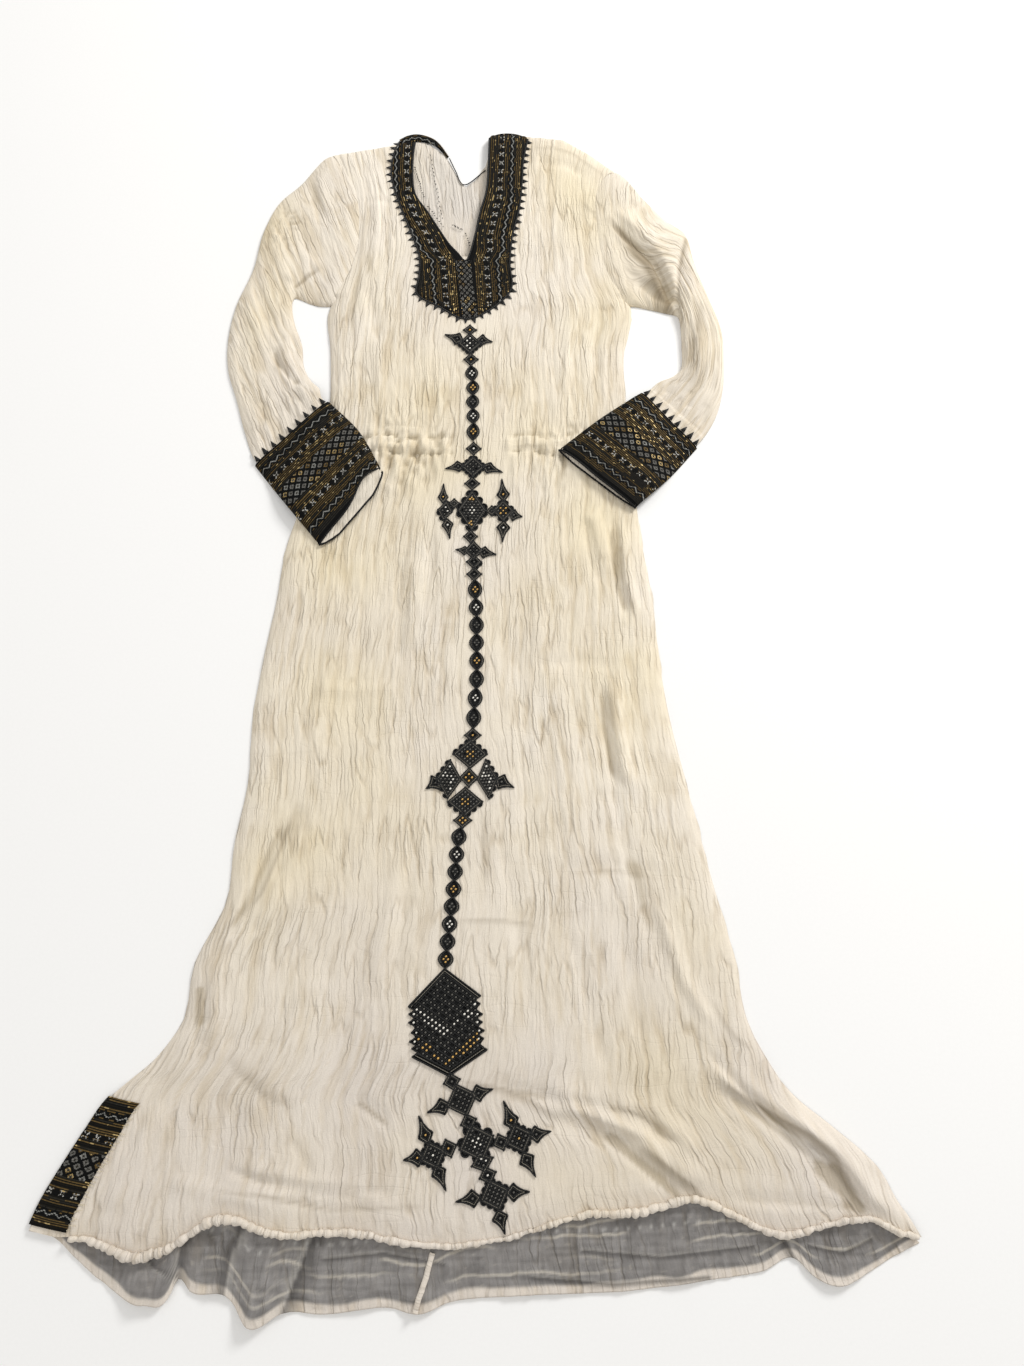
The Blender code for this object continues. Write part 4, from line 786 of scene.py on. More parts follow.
def makeBack():
    look = backLook
    steps = ((-625, -568, look["hemRows"]), (-568, -480, look["bandRows"]), (-480, 690, look["rows"]))
    levels = np.concatenate([[-625.0]] + [np.linspace(*step)[1:] for step in steps])
    rows = len(levels)
    level = levels[:, None] + np.zeros((1, look["columns"]))
    share = np.linspace(0, 1, look["columns"])[None, :] + np.zeros((rows, 1))
    x = mixed(edgeAt(level, "left"), edgeAt(level, "right"), share)
    y = panelY(level, x, backHem, -480, backNeck)
    low = backLow(x, y, level) + 0.05
    u, v = clothCoordinates(x, y, level)
    crease = look["crinkle"] * (crinkle(u, v, seeds["back"]) + 0.6)
    edge = softStep(0, 10, np.minimum(x - x[:, :1], x[:, -1:] - x))
    ripple = 1.3 * softStep(-640, -680, y) * np.abs(noiseAt(x / 17, y / 9, 91)) + 0.9 * softStep(-600, -640,
            y) * noiseAt(x / 30, y / 16, 92)
    high = low + look["wall"] + edge * np.clip(crease + ripple, 0, 4)
    under = np.stack([x, y, low], axis=-1).reshape(-1, 3)
    over = np.stack([x, y, high], axis=-1).reshape(-1, 3)
    columns, count = look["columns"], rows * look["columns"]
    rim = np.concatenate([np.arange(columns), np.arange(1, rows) * columns + columns - 1,
                          (rows - 1) * columns + np.arange(columns - 2, -1, -1),
                          np.arange(rows - 2, 0, -1) * columns])
    after = np.roll(rim, -1)
    walls = np.stack([rim, after, after + count, rim + count], axis=-1)
    faces = np.concatenate([gridFaces(rows, columns, count), gridFaces(rows, columns, 0, flip=True), walls])
    uv = np.stack([u, v], axis=-1).reshape(-1, 2)
    piece = meshOf("backCloth", np.concatenate([under, over]), faces, np.concatenate([uv, uv]))
    outside = toneOf(x, y, softStep(0.2, -0.6, crease), seeds["tone"] + 7)
    inside = toneOf(x, y, softStep(0.3, -0.5, crease), seeds["tone"] + 9, grey=0.25)
    # painted shade: the inside of the back is greyed where it shows in the neck opening
    inside = mixed(inside, np.array(linearColour("#cfc9c2")),
                   0.55 * (softStep(520, 600, y) * softStep(60, 20, np.abs(x + 40)))[..., None])
    # The dark band shows through as grey; a light strip is left below it, and cream ripples and white dots
    # cross it.
    seen = softStep(-620.5, -617.5, level + 2.2 * noiseAt(x / 26, y / 60, 93)) * softStep(-492, -500, level)
    thread = 0.7 * noiseAt(x / 3.3, y / 30, 94) + 0.7 * noiseAt(x / 30, y / 3.0,
            95) + 0.5 * noiseAt(x / 4.4, y / 4.4, 100)
    greyed = np.array(linearColour("#7f7c7a")) * (1 + 0.26 * thread[..., None])
    inside = mixed(inside, greyed, 0.95 * seen[..., None])
    pale = 0.3 * softStep(0.75, 0.95, noiseAt(x / 3.1, y / 3.1, 90))
    for k in range(6):
        at = -571 - 8.2 * k + 3.4 * noiseAt(x / 52, x * 0 + 2.7 * k,
                                            96) + 0.9 * noiseAt(x / 9, x * 0 + k, 97)
        pale = pale + softStep(1.5, 0.3, np.abs(level - at)) * softStep(-0.05, 0.35,
                noiseAt(x / 62, x * 0 + 3.1 * k, 99))
    inside = mixed(inside, np.array(linearColour("#cfc7b9")), 0.6 * np.clip(pale * seen, 0, 1)[..., None])
    for at in (-540.0, -584.0):  # the dots of the band's woven rows
        dot = np.exp(-(((level - at) / 1.6) ** 2)) * softStep(0.55, 0.8, np.cos(2 * math.pi * x / 12.0))
        inside = mixed(inside, np.array(linearColour("#d9d6d0")), 0.4 * (dot * seen)[..., None])
    # painted shadow beside each fold, and painted light along the ridge on its other side
    shadow, ridge = np.zeros(x.shape), np.zeros(x.shape)
    for line, darkSide, reach in backEdges:
        far, signed, _ = lineDistance(x, y, line)
        shadow += softStep(reach, 0, far) * softStep(-2.2, 1.4, far * signed * darkSide)
        ridge += softStep(0.55 * reach, 0, far) * (signed != darkSide)
    inside = mixed(inside, np.array(linearColour("#c4bfb6")), 0.3 * np.clip(ridge, 0, 1)[..., None])
    inside = mixed(inside, np.array(linearColour("#454240")), 0.72 * np.clip(shadow, 0, 1)[..., None])
    pointValues(piece, "tone", np.concatenate([outside.reshape(-1, 3), inside.reshape(-1, 3)]))
    finishPiece(piece, gauze, ("back_panel",))
    return piece


backCloth = makeBack()
print("back made")


# The woven bands: a face for each thread float, coloured by the rules of the weave.

threadColours = {name: np.array(linearColour(value)) for name, value in dict(
    black="#060606", umber="#16130c", smoke="#26241f", gold="#5e4c2b", bright="#b79f6c",
    white="#aeaca5", grey="#62605b",
    silver="#84847f",
).items()}
cuffWeave = [  # from the pointed edge to the opening: start, end, kind of row
    (-9, 2, "black"), (2, 7, "gilt"), (7, 20, "zigzag"), (20, 25, "gilt"),
    (25, 34, "stars"), (34, 46, "gilt"),
    (46, 72, "lattice"), (72, 84, "gilt"), (84, 93, "stars"), (93, 102, "gilt"),
    (102, 116, "zigzag"), (116, 122, "dark"),
    (122, 160, "black"),
]
hemWeave = [
    (-9, 11, "gilt"), (11, 22, "zigzag"), (22, 34, "gilt"), (34, 43, "stars"), (43, 52, "gilt"),
    (52, 79, "lattice"), (79, 89, "gilt"), (89, 98, "stars"), (98, 108, "gilt"),
    (108, 118, "zigzag"), (118, 160, "gilt"),
]
neckWeave = [  # from the inner edge outwards
    (-20, 1.6, "black"), (1.6, 13, "gilt"), (13, 21, "stars"), (21, 26, "gilt"),
    (26, 35, "zigzag"), (35, 43, "gilt"),
    (43, 90, "dark"),
]
weaveLook = dict(pick=0.82, motif=13.3, wave=11.8, along=12.4, across=10.2)


def weaveAt(a, l, weave, seed, across=None):  # colour, gilt and relief at a across the band and l along it
    look = weaveLook
    colour = np.zeros(a.shape + (3,)) + threadColours["umber"]
    gilt, relief = np.zeros(a.shape), np.zeros(a.shape)

    def paint(where, name, glint=0.0, rise=None):
        colour[where] = threadColours[name]
        gilt[where] = glint
        if rise is not None:
            relief[where] = rise

    # Every third thread is gilt or smoke grey, and dull but for short lengths that turn to the light; those
    # lengths get a lighter colour, a painted glint.
    pick = np.floor(a / look["pick"] + 0.001).astype(int)
    chance = noiseAt(l / 3.6, pick * 3.7 + 0.5, seed)
    worn = noiseAt(l / 24.0, pick * 2.3 + 0.5, seed + 2)
    for start, end, kind in weave:
        here = (a >= start) & (a < end)
        c = a - start
        third = here & (pick % 3 == 0)
        paint(here & (pick % 3 == 1), "black", 0.0, 0.0)
        paint(here & (pick % 3 == 2), "umber", 0.05, 0.06)
        paint(third, "smoke", 0.1, 0.14)
        if kind in ("gilt", "stars"):
            paint(third & (worn > (-0.28 if kind == "gilt" else 0.1)), "gold", 0.35, 0.16)
            paint(third & (chance > (0.6 if kind == "gilt" else 0.72)), "bright", 0.9, 0.2)
        else:
            paint(third & (worn > (-0.1 if kind == "zigzag" else 0.3)), "gold", 0.3, 0.15)
        if kind == "stars":
            da, dl = c - (end - start) / 2, ((l / look["motif"]) % 1 - 0.5) * look["motif"]
            paint(here & (np.abs(dl) + np.abs(da) < 4.1), "black", 0.0, 0.5)
            paint(here & (np.maximum(np.abs(dl), np.abs(da)) < 2.6), "black", 0.0, 0.5)
            wl = ((l / look["motif"] + 0.5) % 1 - 0.5) * look["motif"]
            cross = (np.abs(np.abs(wl) - np.abs(da)) < 0.75) & (np.maximum(np.abs(wl), np.abs(da)) < 3.0)
            faded = noiseAt(np.floor(l / 1.4) * 1.7, pick * 2.9, seed + 6)
            paint(here & cross & (faded > -0.3), "white", 0.0, 0.4)
            paint(here & cross & (faded <= -0.3), "grey", 0.0, 0.3)
            paint(here & (np.abs(wl) < 0.8) & (np.abs(da) < 0.8), "black", 0.0, 0.3)
        if kind == "zigzag":
            slope = np.abs((l / look["wave"]) % 1 - 0.5) * 2
            for shift, name, half in ((0.0, "black", 1.5), (2.1, "silver", 0.55), (4.1, "black", 1.4)):
                line = (end - start) * (0.2 + 0.32 * slope) + shift
                paint(here & (np.abs(c - line) < half), name, 0.0, 0.42 if name == "black" else 0.25)
        if kind == "lattice":
            diamonds(here, c / look["across"], l / look["along"], seed, paint)
        if kind == "black":
            paint(here, "black", 0.0, 0.35)
    if across is not None:
        diamonds(np.abs(across) < 50, across / 7.0, l / 8.2, seed, paint)
    uneven = 0.78 + 0.44 * np.random.default_rng(seed).random(a.shape)
    return colour * uneven[..., None], gilt, relief


# Grey diamonds with a dark eye, parted by a black lattice, a few of them gilt
def diamonds(here, p, q, seed, paint):
    f1, f2 = (q + p) % 1, (q - p) % 1
    cell = noiseAt(np.floor(q + p) * 1.7 + 0.5, np.floor(q - p) * 2.3 + 0.5, seed + 4)
    m = np.maximum(np.abs(f1 - 0.5), np.abs(f2 - 0.5))
    paint(here, "black", 0.0, 0.45)
    paint(here & (m < 0.31), "smoke", 0.0, 0.15)
    paint(here & (m < 0.31) & (m > 0.13), "grey", 0.0, 0.15)
    paint(here & (m < 0.31) & (m > 0.16) & (cell > 0.36), "gold", 0.6, 0.15)
    # painted glint: a lighter gilt ring in some diamonds
    paint(here & (m < 0.27) & (m > 0.2) & (cell > 0.52), "bright", 0.9, 0.18)
    paint(here & (m < 0.31) & (m > 0.2) & (np.abs(cell) < 0.1), "silver", 0.0, 0.2)


def wovenPiece(name, points, a, l, weave, seed, faces, nodes, across=None):
    # points are a grid of rows; a and l give each point's place in the weave, and across its place in a
    # column of
    # small diamonds, or a number past 50 outside it
    flatPoints = points.reshape(-1, 3).copy()
    flatA, flatL = a.ravel(), l.ravel()
    flatAcross = None if across is None else across.ravel()
    rise = weaveAt(flatA, flatL, weave, seed, flatAcross)[2]
    flatPoints[:, 2] += 0.8 * rise * np.where(flatPoints[:, 2] > 3.0, 1, 0)
    piece = meshOf(name, flatPoints, faces, np.stack([flatA, flatL], axis=-1))
    middle = None if across is None else flatAcross[faces].mean(axis=1)
    colour, gilt, _ = weaveAt(flatA[faces].mean(axis=1), flatL[faces].mean(axis=1), weave, seed, middle)
    faceValues(piece, "thread", colour)
    faceValues(piece, "gilt", gilt)
    return finishPiece(piece, tibeb, nodes)


# The sleeves.

cuffPlan = {
    "left": dict(out=[(-275, 219), (-233, 165), (-190, 113)], inner=[(-187, 301), (-147, 259), (-118, 207)],
                 lip=11.0, dip=13.0, rise=6.8),
    "right": dict(out=[(266, 242), (228, 199), (187, 160)], inner=[(199, 314), (146, 277), (96, 236)],
                  lip=3.0, dip=2.0, rise=6.8),
}
cuffClear, cuffRunIn = 8.6, 62.0
sleevePlan = {
    "left": rowsOf("outX outY inX inY bow height", [
        (-240, 623, -216, 443, 22, 7.0), (-270, 589, -237, 452, 12, 7.5), (-284, 552, -241, 448, 6, 8.0),
        (-294, 496, -241, 434, 3, 8.0), (-313, 440, -236, 412, 0, 8.0), (-320, 388, -226, 384, 0, 7.5),
        (-316, 346, -222, 354, 0, 8.0), (-303, 306, -212, 334, 0, 8.0), (-290, 262, -200, 320, 0, 7.5),
    ]),
    "right": rowsOf("outX outY inX inY bow height", [
        (212, 601, 212, 436, 22, 8.5), (241, 567, 236, 430, 14, 11.0), (265, 545, 249, 426, 8, 12.0),
        (273, 508, 252, 418, 4, 12.5), (289, 455, 253, 404, 0, 12.0), (303, 410, 253, 384, 0, 12.0),
        (305, 364, 251, 352, 0, 11.5), (301, 318, 240, 340, 0, 10.5), (291, 284, 222, 332, 0, 8.5),
    ]),
}
sleeveCreases = {
    "left": [
        ([(-238, 640), (-222, 600), (-206, 560)], 7, -2.0, 0.3),
        ([(-226, 648), (-210, 606), (-196, 566)], 8, 1.6, 0.2),
        ([(-262, 600), (-244, 556), (-222, 510)], 8, -1.8, 0.3),
        ([(-278, 560), (-262, 510), (-248, 470)], 9, 1.5, 0.2),
        ([(-244, 462), (-230, 474), (-208, 494)], 6, -3.0, 0.4),
        ([(-248, 472), (-234, 486), (-210, 508)], 8, 1.8, 0.1),
        ([(-298, 500), (-282, 450), (-262, 400)], 8, -1.7, 0.3),
        ([(-304, 470), (-290, 420), (-268, 366)], 9, 1.6, 0.2),
        ([(-262, 380), (-254, 356), (-238, 336), (-220, 322)], 6, -3.2, 0.4),
        ([(-252, 388), (-244, 364), (-226, 342)], 8, 2.0, 0.2),
        ([(-302, 420), (-302, 370), (-292, 320), (-274, 280)], 8, -1.6, 0.3),
        ([(-246, 404), (-242, 360), (-230, 326)], 7, 1.4, 0.2),
        ([(-236, 400), (-230, 366), (-219, 338)], 6, -1.6, 0.2),
        ([(-272, 306), (-264, 272)], 5, -1.4, 0.0), ([(-254, 316), (-244, 284)], 5, -1.2, 0.0),
        ([(-236, 332), (-224, 298)], 5, -1.4, 0.0), ([(-284, 300), (-276, 262)], 5, 1.0, 0.0),
    ],
    "right": [
        ([(160, 566), (197, 524), (220, 498), (234, 460), (247, 426)], 8, -5.0, 0.5),
        ([(168, 586), (208, 544), (232, 510), (246, 466), (260, 428)], 13, 3.4, 0.5),
        ([(268, 552), (252, 486), (248, 432)], 7, -3.0, 0.4),
        ([(284, 534), (268, 480), (264, 430)], 10, 2.0, 0.3),
        ([(188, 606), (226, 580), (256, 550)], 9, 1.6, 0.2),
        ([(196, 474), (220, 450), (242, 438)], 8, -2.2, 0.3),
        ([(186, 500), (206, 480), (228, 462)], 8, 1.8, 0.2),
        ([(300, 402), (296, 350), (280, 306)], 8, -1.8, 0.3),
        ([(270, 400), (270, 360), (256, 328)], 8, 1.8, 0.2),
        ([(284, 440), (288, 380), (276, 326)], 7, -1.4, 0.2),
        ([(262, 318), (256, 292)], 5, -1.3, 0.0), ([(236, 338), (228, 312)], 5, -1.3, 0.0),
        ([(280, 300), (272, 270)], 5, -1.2, 0.0),
    ],
}
# Painted shadows where a sleeve's fold lies over: points, the shaded side (1 is right or above), reach and
# strength
sleeveEdges = {
    "left": [([(-241, 465), (-225, 484), (-213, 492)], -1, 8, 0.55),
             ([(-256, 373), (-252, 348), (-237, 323), (-217, 301)], -1, 9, 0.45)],
    "right": [
        ([(165, 572), (199, 525), (217, 501), (231, 465), (245, 428)], -1, 20, 0.95),
        ([(193, 532), (217, 501), (232, 465), (248, 420)], -1, 34, 0.6),
        ([(266, 540), (264, 532), (254, 486), (251, 438)], -1, 7, 0.6),
        ([(278, 440), (275, 421), (269, 380), (268, 333), (262, 318)], 1, 13, 0.45),
        ([(278, 440), (275, 421), (269, 380), (268, 333), (262, 318)], -1, 13, 0.45),
    ],
}
sleeveLook = dict(rows=190, top=112, under=30, crinkle=0.85, endHeight=4.6)


def restHeight(x, y, side):  # on the floor beside the body, and raised where it lies over it
    edge = edgeAt(y, side)
    inside = x - edge if side == "left" else edge - x
    return cuffClear * softStep(-cuffRunIn, -6, inside) * softStep(345, 310, y)


def cuffPlaces(side, along, share):  # places on a cuff; along is 0 at its seam and 1 at its opening
    plan = cuffPlan[side]
    outer = curveAt([0, 0.5, 1], plan["out"], np.clip(along, 0, 1))
    inner = curveAt([0, 0.5, 1], plan["inner"], np.clip(along, 0, 1))
    axis = np.array(plan["out"][2], float) + plan["inner"][2] - plan["out"][0] - plan["inner"][0]
    axis /= np.hypot(*axis)
    past = (along - np.clip(along, 0, 1)) * 127.0
    return outer + share[..., None] * (inner - outer) + past[..., None] * axis


def makeSleeve(side):
    look, plan = sleeveLook, sleevePlan[side]
    shares = np.linspace(0, 1, look["top"])
    levels = np.linspace(690, 440, 60)
    holeX = edgeAt(levels, side)
    holeY = panelY(levels, holeX, frontHem, -560, shoulder)
    run = np.concatenate([[0], np.cumsum(np.hypot(np.diff(holeX), np.diff(holeY)))])
    sign = -1 if side == "left" else 1
    hole = np.stack([np.interp(shares * run[-1], run, holeX),
                     np.interp(shares * run[-1], run, holeY)], axis=-1)
    rings, heights = [hole - np.array([7.0 * sign, 0.0]), hole], [5.0, 7.0]
    for k in range(len(plan["outX"])):
        out, inner = np.array([plan["outX"][k],
                               plan["outY"][k]]), np.array([plan["inX"][k], plan["inY"][k]])
        long = math.dist(out, inner)
        toward = np.array([(inner[1] - out[1]) / long, (out[0] - inner[0]) / long]) * sign
        bow = plan["bow"][k] * 4 * shares * (1 - shares)
        rings.append(out + shares[:, None] * (inner - out) + bow[:, None] * toward)
        heights.append(plan["height"][k])
    for along in (-0.06, 0.03, 0.14):
        rings.append(cuffPlaces(side, np.full(shares.shape, along), 0.035 + 0.93 * shares))
        heights.append(look["endHeight"])
    rings = np.array(rings)
    gaps = np.hypot(*np.moveaxis(np.diff(rings, axis=0), -1, 0)).mean(axis=1)
    keys = np.concatenate([[0], np.cumsum(gaps)])
    places = np.linspace(0, keys[-1], look["rows"])
    flat = curveAt(keys, rings.reshape(len(rings), -1), places).reshape(look["rows"], -1, 2)
    tall = curveAt(keys, np.array(heights), places)[:, None]
    x, y = flat[..., 0], flat[..., 1]
    q = shares[None, :] + np.zeros((look["rows"], 1))
    v = places[:, None] + np.zeros((1, look["top"]))
    width = np.hypot(x[:, -1:] - x[:, :1], y[:, -1:] - y[:, :1])
    u = (q - 0.5) * width ** 0.6 * 130 ** 0.4
    rise, along = y - 450.0, places[:, None] + np.zeros((1, look["top"]))
    if side == "left":
        u, v = 0.93 * (x + 0.4 * rise - 0.00015 * rise ** 2), 0.93 * y - 0.37 * x + 300.0
    else:  # the crinkles turn from the body's direction to the sleeve's
        bodyU, bodyV = clothCoordinates(x, y, np.clip(y, 452, 690))
        near, start = softStep(125, 10, along), along < 60
        u = mixed(-u + (bodyU + u)[start].mean(), bodyU, near) - 300
        v = mixed(-v + (bodyV + v)[start].mean(), bodyV, near) - 300
    rest = restHeight(x, y, side) + np.where(along > keys[-3] - 6, 1.9,
                                             0.4) * softStep(keys[-3] - 24,
                                                             keys[-3] - 4, along) * 0.9 + 0.25
    profile = np.sqrt(np.clip(1 - np.abs(2 * q - 1) ** mixed(10.0, 3.2, softStep(0, 60, along)), 0, 1))
    ends = softStep(0, 45, along) * softStep(keys[-1] - 14, keys[-3] - 8, along)
    if side == "left":
        crease = look["crinkle"] * crinkle(u + 300, v + 300, seeds["sleeveLeft"], 10.0, 90.0)
    else:
        crease = look["crinkle"] * crinkle(u + 300, v + 300,
                                           seeds["front"]) * (1 - 0.5 * softStep(70, 20, along))
    folds = creaseField(x, y, sleeveCreases[side])
    if side == "left":
        folds = folds + 1.5 * pulled(x, y, pulls["sleeve"])
    gather = 1.2 * softStep(keys[-3] - 46, keys[-3] - 8,
                            along) * softStep(keys[-3] + 6, keys[-3] - 4, along)
    gather = gather * noiseAt(q * 20, along / 40, 61)
    limit = softStep(0, 0.12, np.minimum(q, 1 - q))
    top = rest + (tall - 0.5 + (crease * (0.35 + 0.65 * ends) + folds * ends + gather) * limit) * profile
    top = np.maximum(top, rest + 0.3 * profile)
    low = np.linspace(1, 0, look["under"] + 2)[1:-1]
    step = low * (look["top"] - 1)
    i = np.clip(np.floor(step).astype(int), 0, look["top"] - 2)
    part = step - i
    lowX = mixed(x[:, i], x[:, i + 1], part)
    lowY = mixed(y[:, i], y[:, i + 1], part)
    lowZ = mixed(rest[:, i], rest[:, i + 1], part) - 0.15
    points = np.concatenate([np.stack([x, y, top], axis=-1), np.stack([lowX, lowY, lowZ], axis=-1)], axis=1)
    columns = look["top"] + look["under"]
    uv = np.concatenate([np.stack([u, v], axis=-1),
                         np.stack([mixed(u[:, i], u[:, i + 1], part) + 200, v[:, i]], axis=-1)], axis=1)
    piece = meshOf("sleeve" + side.capitalize(), points.reshape(-1, 3),
                   loopFaces(look["rows"], columns, flip=side == "left"), uv.reshape(-1, 2))
    # painted shade in the crinkle valleys and creases, and beside the folds that lie over
    valley = softStep(0.1, -0.75, crease / look["crinkle"])
    shade = foldShade(x, y, sleeveEdges[side])
    tone = toneOf(x, y, valley, seeds["tone"] + 3, 0.1, 0.7 * softStep(-1.4, -3.4, folds), shade)
    tone = np.concatenate([tone, tone[:, i]], axis=1)
    pointValues(piece, "tone", tone.reshape(-1, 3))
    finishPiece(piece, gauze, ("sleeve_" + side,))
    return piece


for side in ("left", "right"):
    makeSleeve(side)
print("sleeves made")


# The cuffs.

cuffLook = dict(rows=160, columns=112)


def cuffEnd(side, share, under):  # where each layer of a cuff ends
    plan = cuffPlan[side]
    if under:
        return 1 + plan["lip"] / 127.0 * np.clip(5.5 * share * (1 - share), 0, 1) ** 0.7
    return 1 - plan["dip"] / 127.0 * np.exp(-(((share - 0.8) / 0.22) ** 2))


def cuffHeight(side, x, y, share, under):
    profile = np.sqrt(np.clip(1 - np.abs(2 * share - 1) ** 4.5, 0, 1))
    return restHeight(x, y, side) + (0.35 if under else 0.4 + cuffPlan[side]["rise"] * profile)


def makeCuff(side):
    look = cuffLook
    rows, columns = look["rows"], look["columns"]
    along = np.linspace(0, 1, rows)[:, None] + np.zeros((1, columns))
    share = np.linspace(0, 1, columns)[None, :] + np.zeros((rows, 1))
    layers, placesA, placesL = [], [], []
    for under in (False, True):
        q = share[:, ::-1] if under else share
        t = along * cuffEnd(side, q, under)
        place = cuffPlaces(side, t, q)
        x, y = place[..., 0], place[..., 1]
        width = np.hypot(*np.moveaxis(place[:, -1] - place[:, 0], -1, 0))[:, None]
        z = cuffHeight(side, x, y, q, under)
        if not under:
            z = z - 1.6 * softStep(0.95, 1.0, along) - 0.6 * softStep(0.03, 0.0, along)
            z = z + 0.5 * noiseAt(x / 26, y / 26, 63) * softStep(0, 0.2, np.minimum(q, 1 - q))
        layers.append(np.stack([x, y, z], axis=-1))
        placesA.append(t * 127.0)
        placesL.append(q * width if not under else 2 * width - q * width)
    points = np.concatenate(layers, axis=1)
    a, l = np.concatenate(placesA, axis=1), np.concatenate(placesL, axis=1)
    faces = loopFaces(rows, 2 * columns, flip=side == "left")
    piece = wovenPiece("cuff" + side.capitalize(), points, a, l, cuffWeave, seeds["bands"] + len(side),
                       faces, ("cuff_" + side,))

    # the pale lining that shows in the opening, and the black cord on both rims
    q = np.linspace(0.02, 0.98, 60)[None, :] + np.zeros((26, 1))
    t = np.linspace(0.72, 1, 26)[:, None] * cuffEnd(side, q, True) * 0.999
    place = cuffPlaces(side, t, q)
    x, y = place[..., 0], place[..., 1]
    z = restHeight(x, y, side) + 2.5 + 0.35 * noiseAt(x / 7, y / 7, 65) - 0.9 * softStep(0.97, 1.0, t)
    lining = meshOf("cuffLining" + side.capitalize(), np.stack([x, y, z], axis=-1).reshape(-1, 3),
                    gridFaces(26, 60, flip=side == "left"), np.stack([x, y], axis=-1).reshape(-1, 2))
    tone = np.zeros(x.shape + (3,)) + np.array(linearColour("#e6dccb"))
    # painted shade: the lining darkens where it runs under the cuff's top layer
    tone *= (1 + 0.1 * noiseAt(x / 6, y / 6, 66) - 0.3
             * softStep(1.0, 0.86, t / cuffEnd(side, q, False)))[..., None]
    pointValues(lining, "tone", tone.reshape(-1, 3))
    finishPiece(lining, gauze)
    rims = []
    for under, lift in ((False, -0.6), (True, 1.0)):
        q = np.linspace(0.0, 1.0, 90)
        place = cuffPlaces(side, cuffEnd(side, q, under), q)
        z = cuffHeight(side, place[:, 0], place[:, 1], q, under) + lift - (0.9 if not under else 0.0)
        rims.append(np.stack([place[:, 0], place[:, 1], z + 0.25 * noiseAt(q * 40, q * 0, 67)], axis=-1))
    finishPiece(cordPiece("cuffEdge" + side.capitalize(), rims, 1.15, darkGround,
                          step=1.4, sides=7), None)
    places = []
    for under in (False, True):
        for k in range(9):
            q = np.array([(k + 0.5) / 9])
            here, there = cuffPlaces(side, np.array([-0.004]),
                                     q)[0], cuffPlaces(side, np.array([0.05]), q)[0]
            angle = math.atan2(here[1] - there[1], here[0] - there[0])
            z = float(cuffHeight(side, here[:1], here[1:2], q, under)[0])
            places.append((here[0], here[1], z if not under else z + 0.3, angle))
    finishPiece(stitchPiece("cuffPoints" + side.capitalize(), places, (8.4, 6.8, 1.7), blackCord,
                            True, 0.14), None)


for side in ("left", "right"):
    makeCuff(side)
print("cuffs made")


# The neck band.

neckPlan = rowsOf("inX inY outX outY", [
    (-90, 686, -111, 690), (-92, 660, -117, 667), (-92, 632, -120, 640),
    (-88, 604, -115, 612), (-71, 576, -105, 581),
    (-53, 545, -92, 546), (-41, 526, -80, 508), (-30, 513, -80, 478),
    (-26, 507, -83, 457), (-23, 504, -54, 436),
    (-21, 503, -17, 418), (-19, 504, 12, 432), (-17, 508, 38, 462), (-13, 522, 36, 498), (-8, 545, 39, 537),
    (-2, 578, 48, 581), (6, 612, 52, 620), (8, 652, 54, 656), (9, 692, 60, 690),
])
neckLook = dict(rows=500, columns=58, lift=1.15, pointPitch=10.2)


def neckEdges(places):
    keys = np.concatenate([[0], np.cumsum(np.hypot(np.diff(neckPlan["outX"]), np.diff(neckPlan["outY"])))])
    inner = curveAt(keys, np.stack([neckPlan["inX"], neckPlan["inY"]], axis=-1), places * keys[-1])
    outer = curveAt(keys, np.stack([neckPlan["outX"], neckPlan["outY"]], axis=-1), places * keys[-1])
    return inner, outer, keys[-1]


def neckWeavePlace(x, y):  # distance out from the neckline or, below the V, from the middle line
    middle = mixed(-14.0, -23.0, softStep(415, 505, y))
    leftLine = np.interp(y, [418, 504, 513, 526, 545, 576, 604, 632, 690],
                         [-15, -23, -30, -41, -53, -71, -88, -92, -91])
    rightLine = np.interp(y, [418, 504, 522, 545, 578, 612, 652, 692], [-15, -21, -13, -8, -2, 6, 8, 9])
    onLeft = x < mixed(middle, (leftLine + rightLine) / 2, softStep(500, 510, y))
    slant = mixed(1.0, 0.86, softStep(500, 520, y) * softStep(620, 596, y))
    out = np.where(onLeft, leftLine - x, x - rightLine) * slant
    out -= 10.0 * softStep(545, 492, y)
    column = (np.abs(x - middle) < 9.6) & (y < 503)
    return out + np.where(onLeft, 9.0 * softStep(560, 615, y),
                          0.0), y * 1.0, np.where(column, x - middle, 99.0)


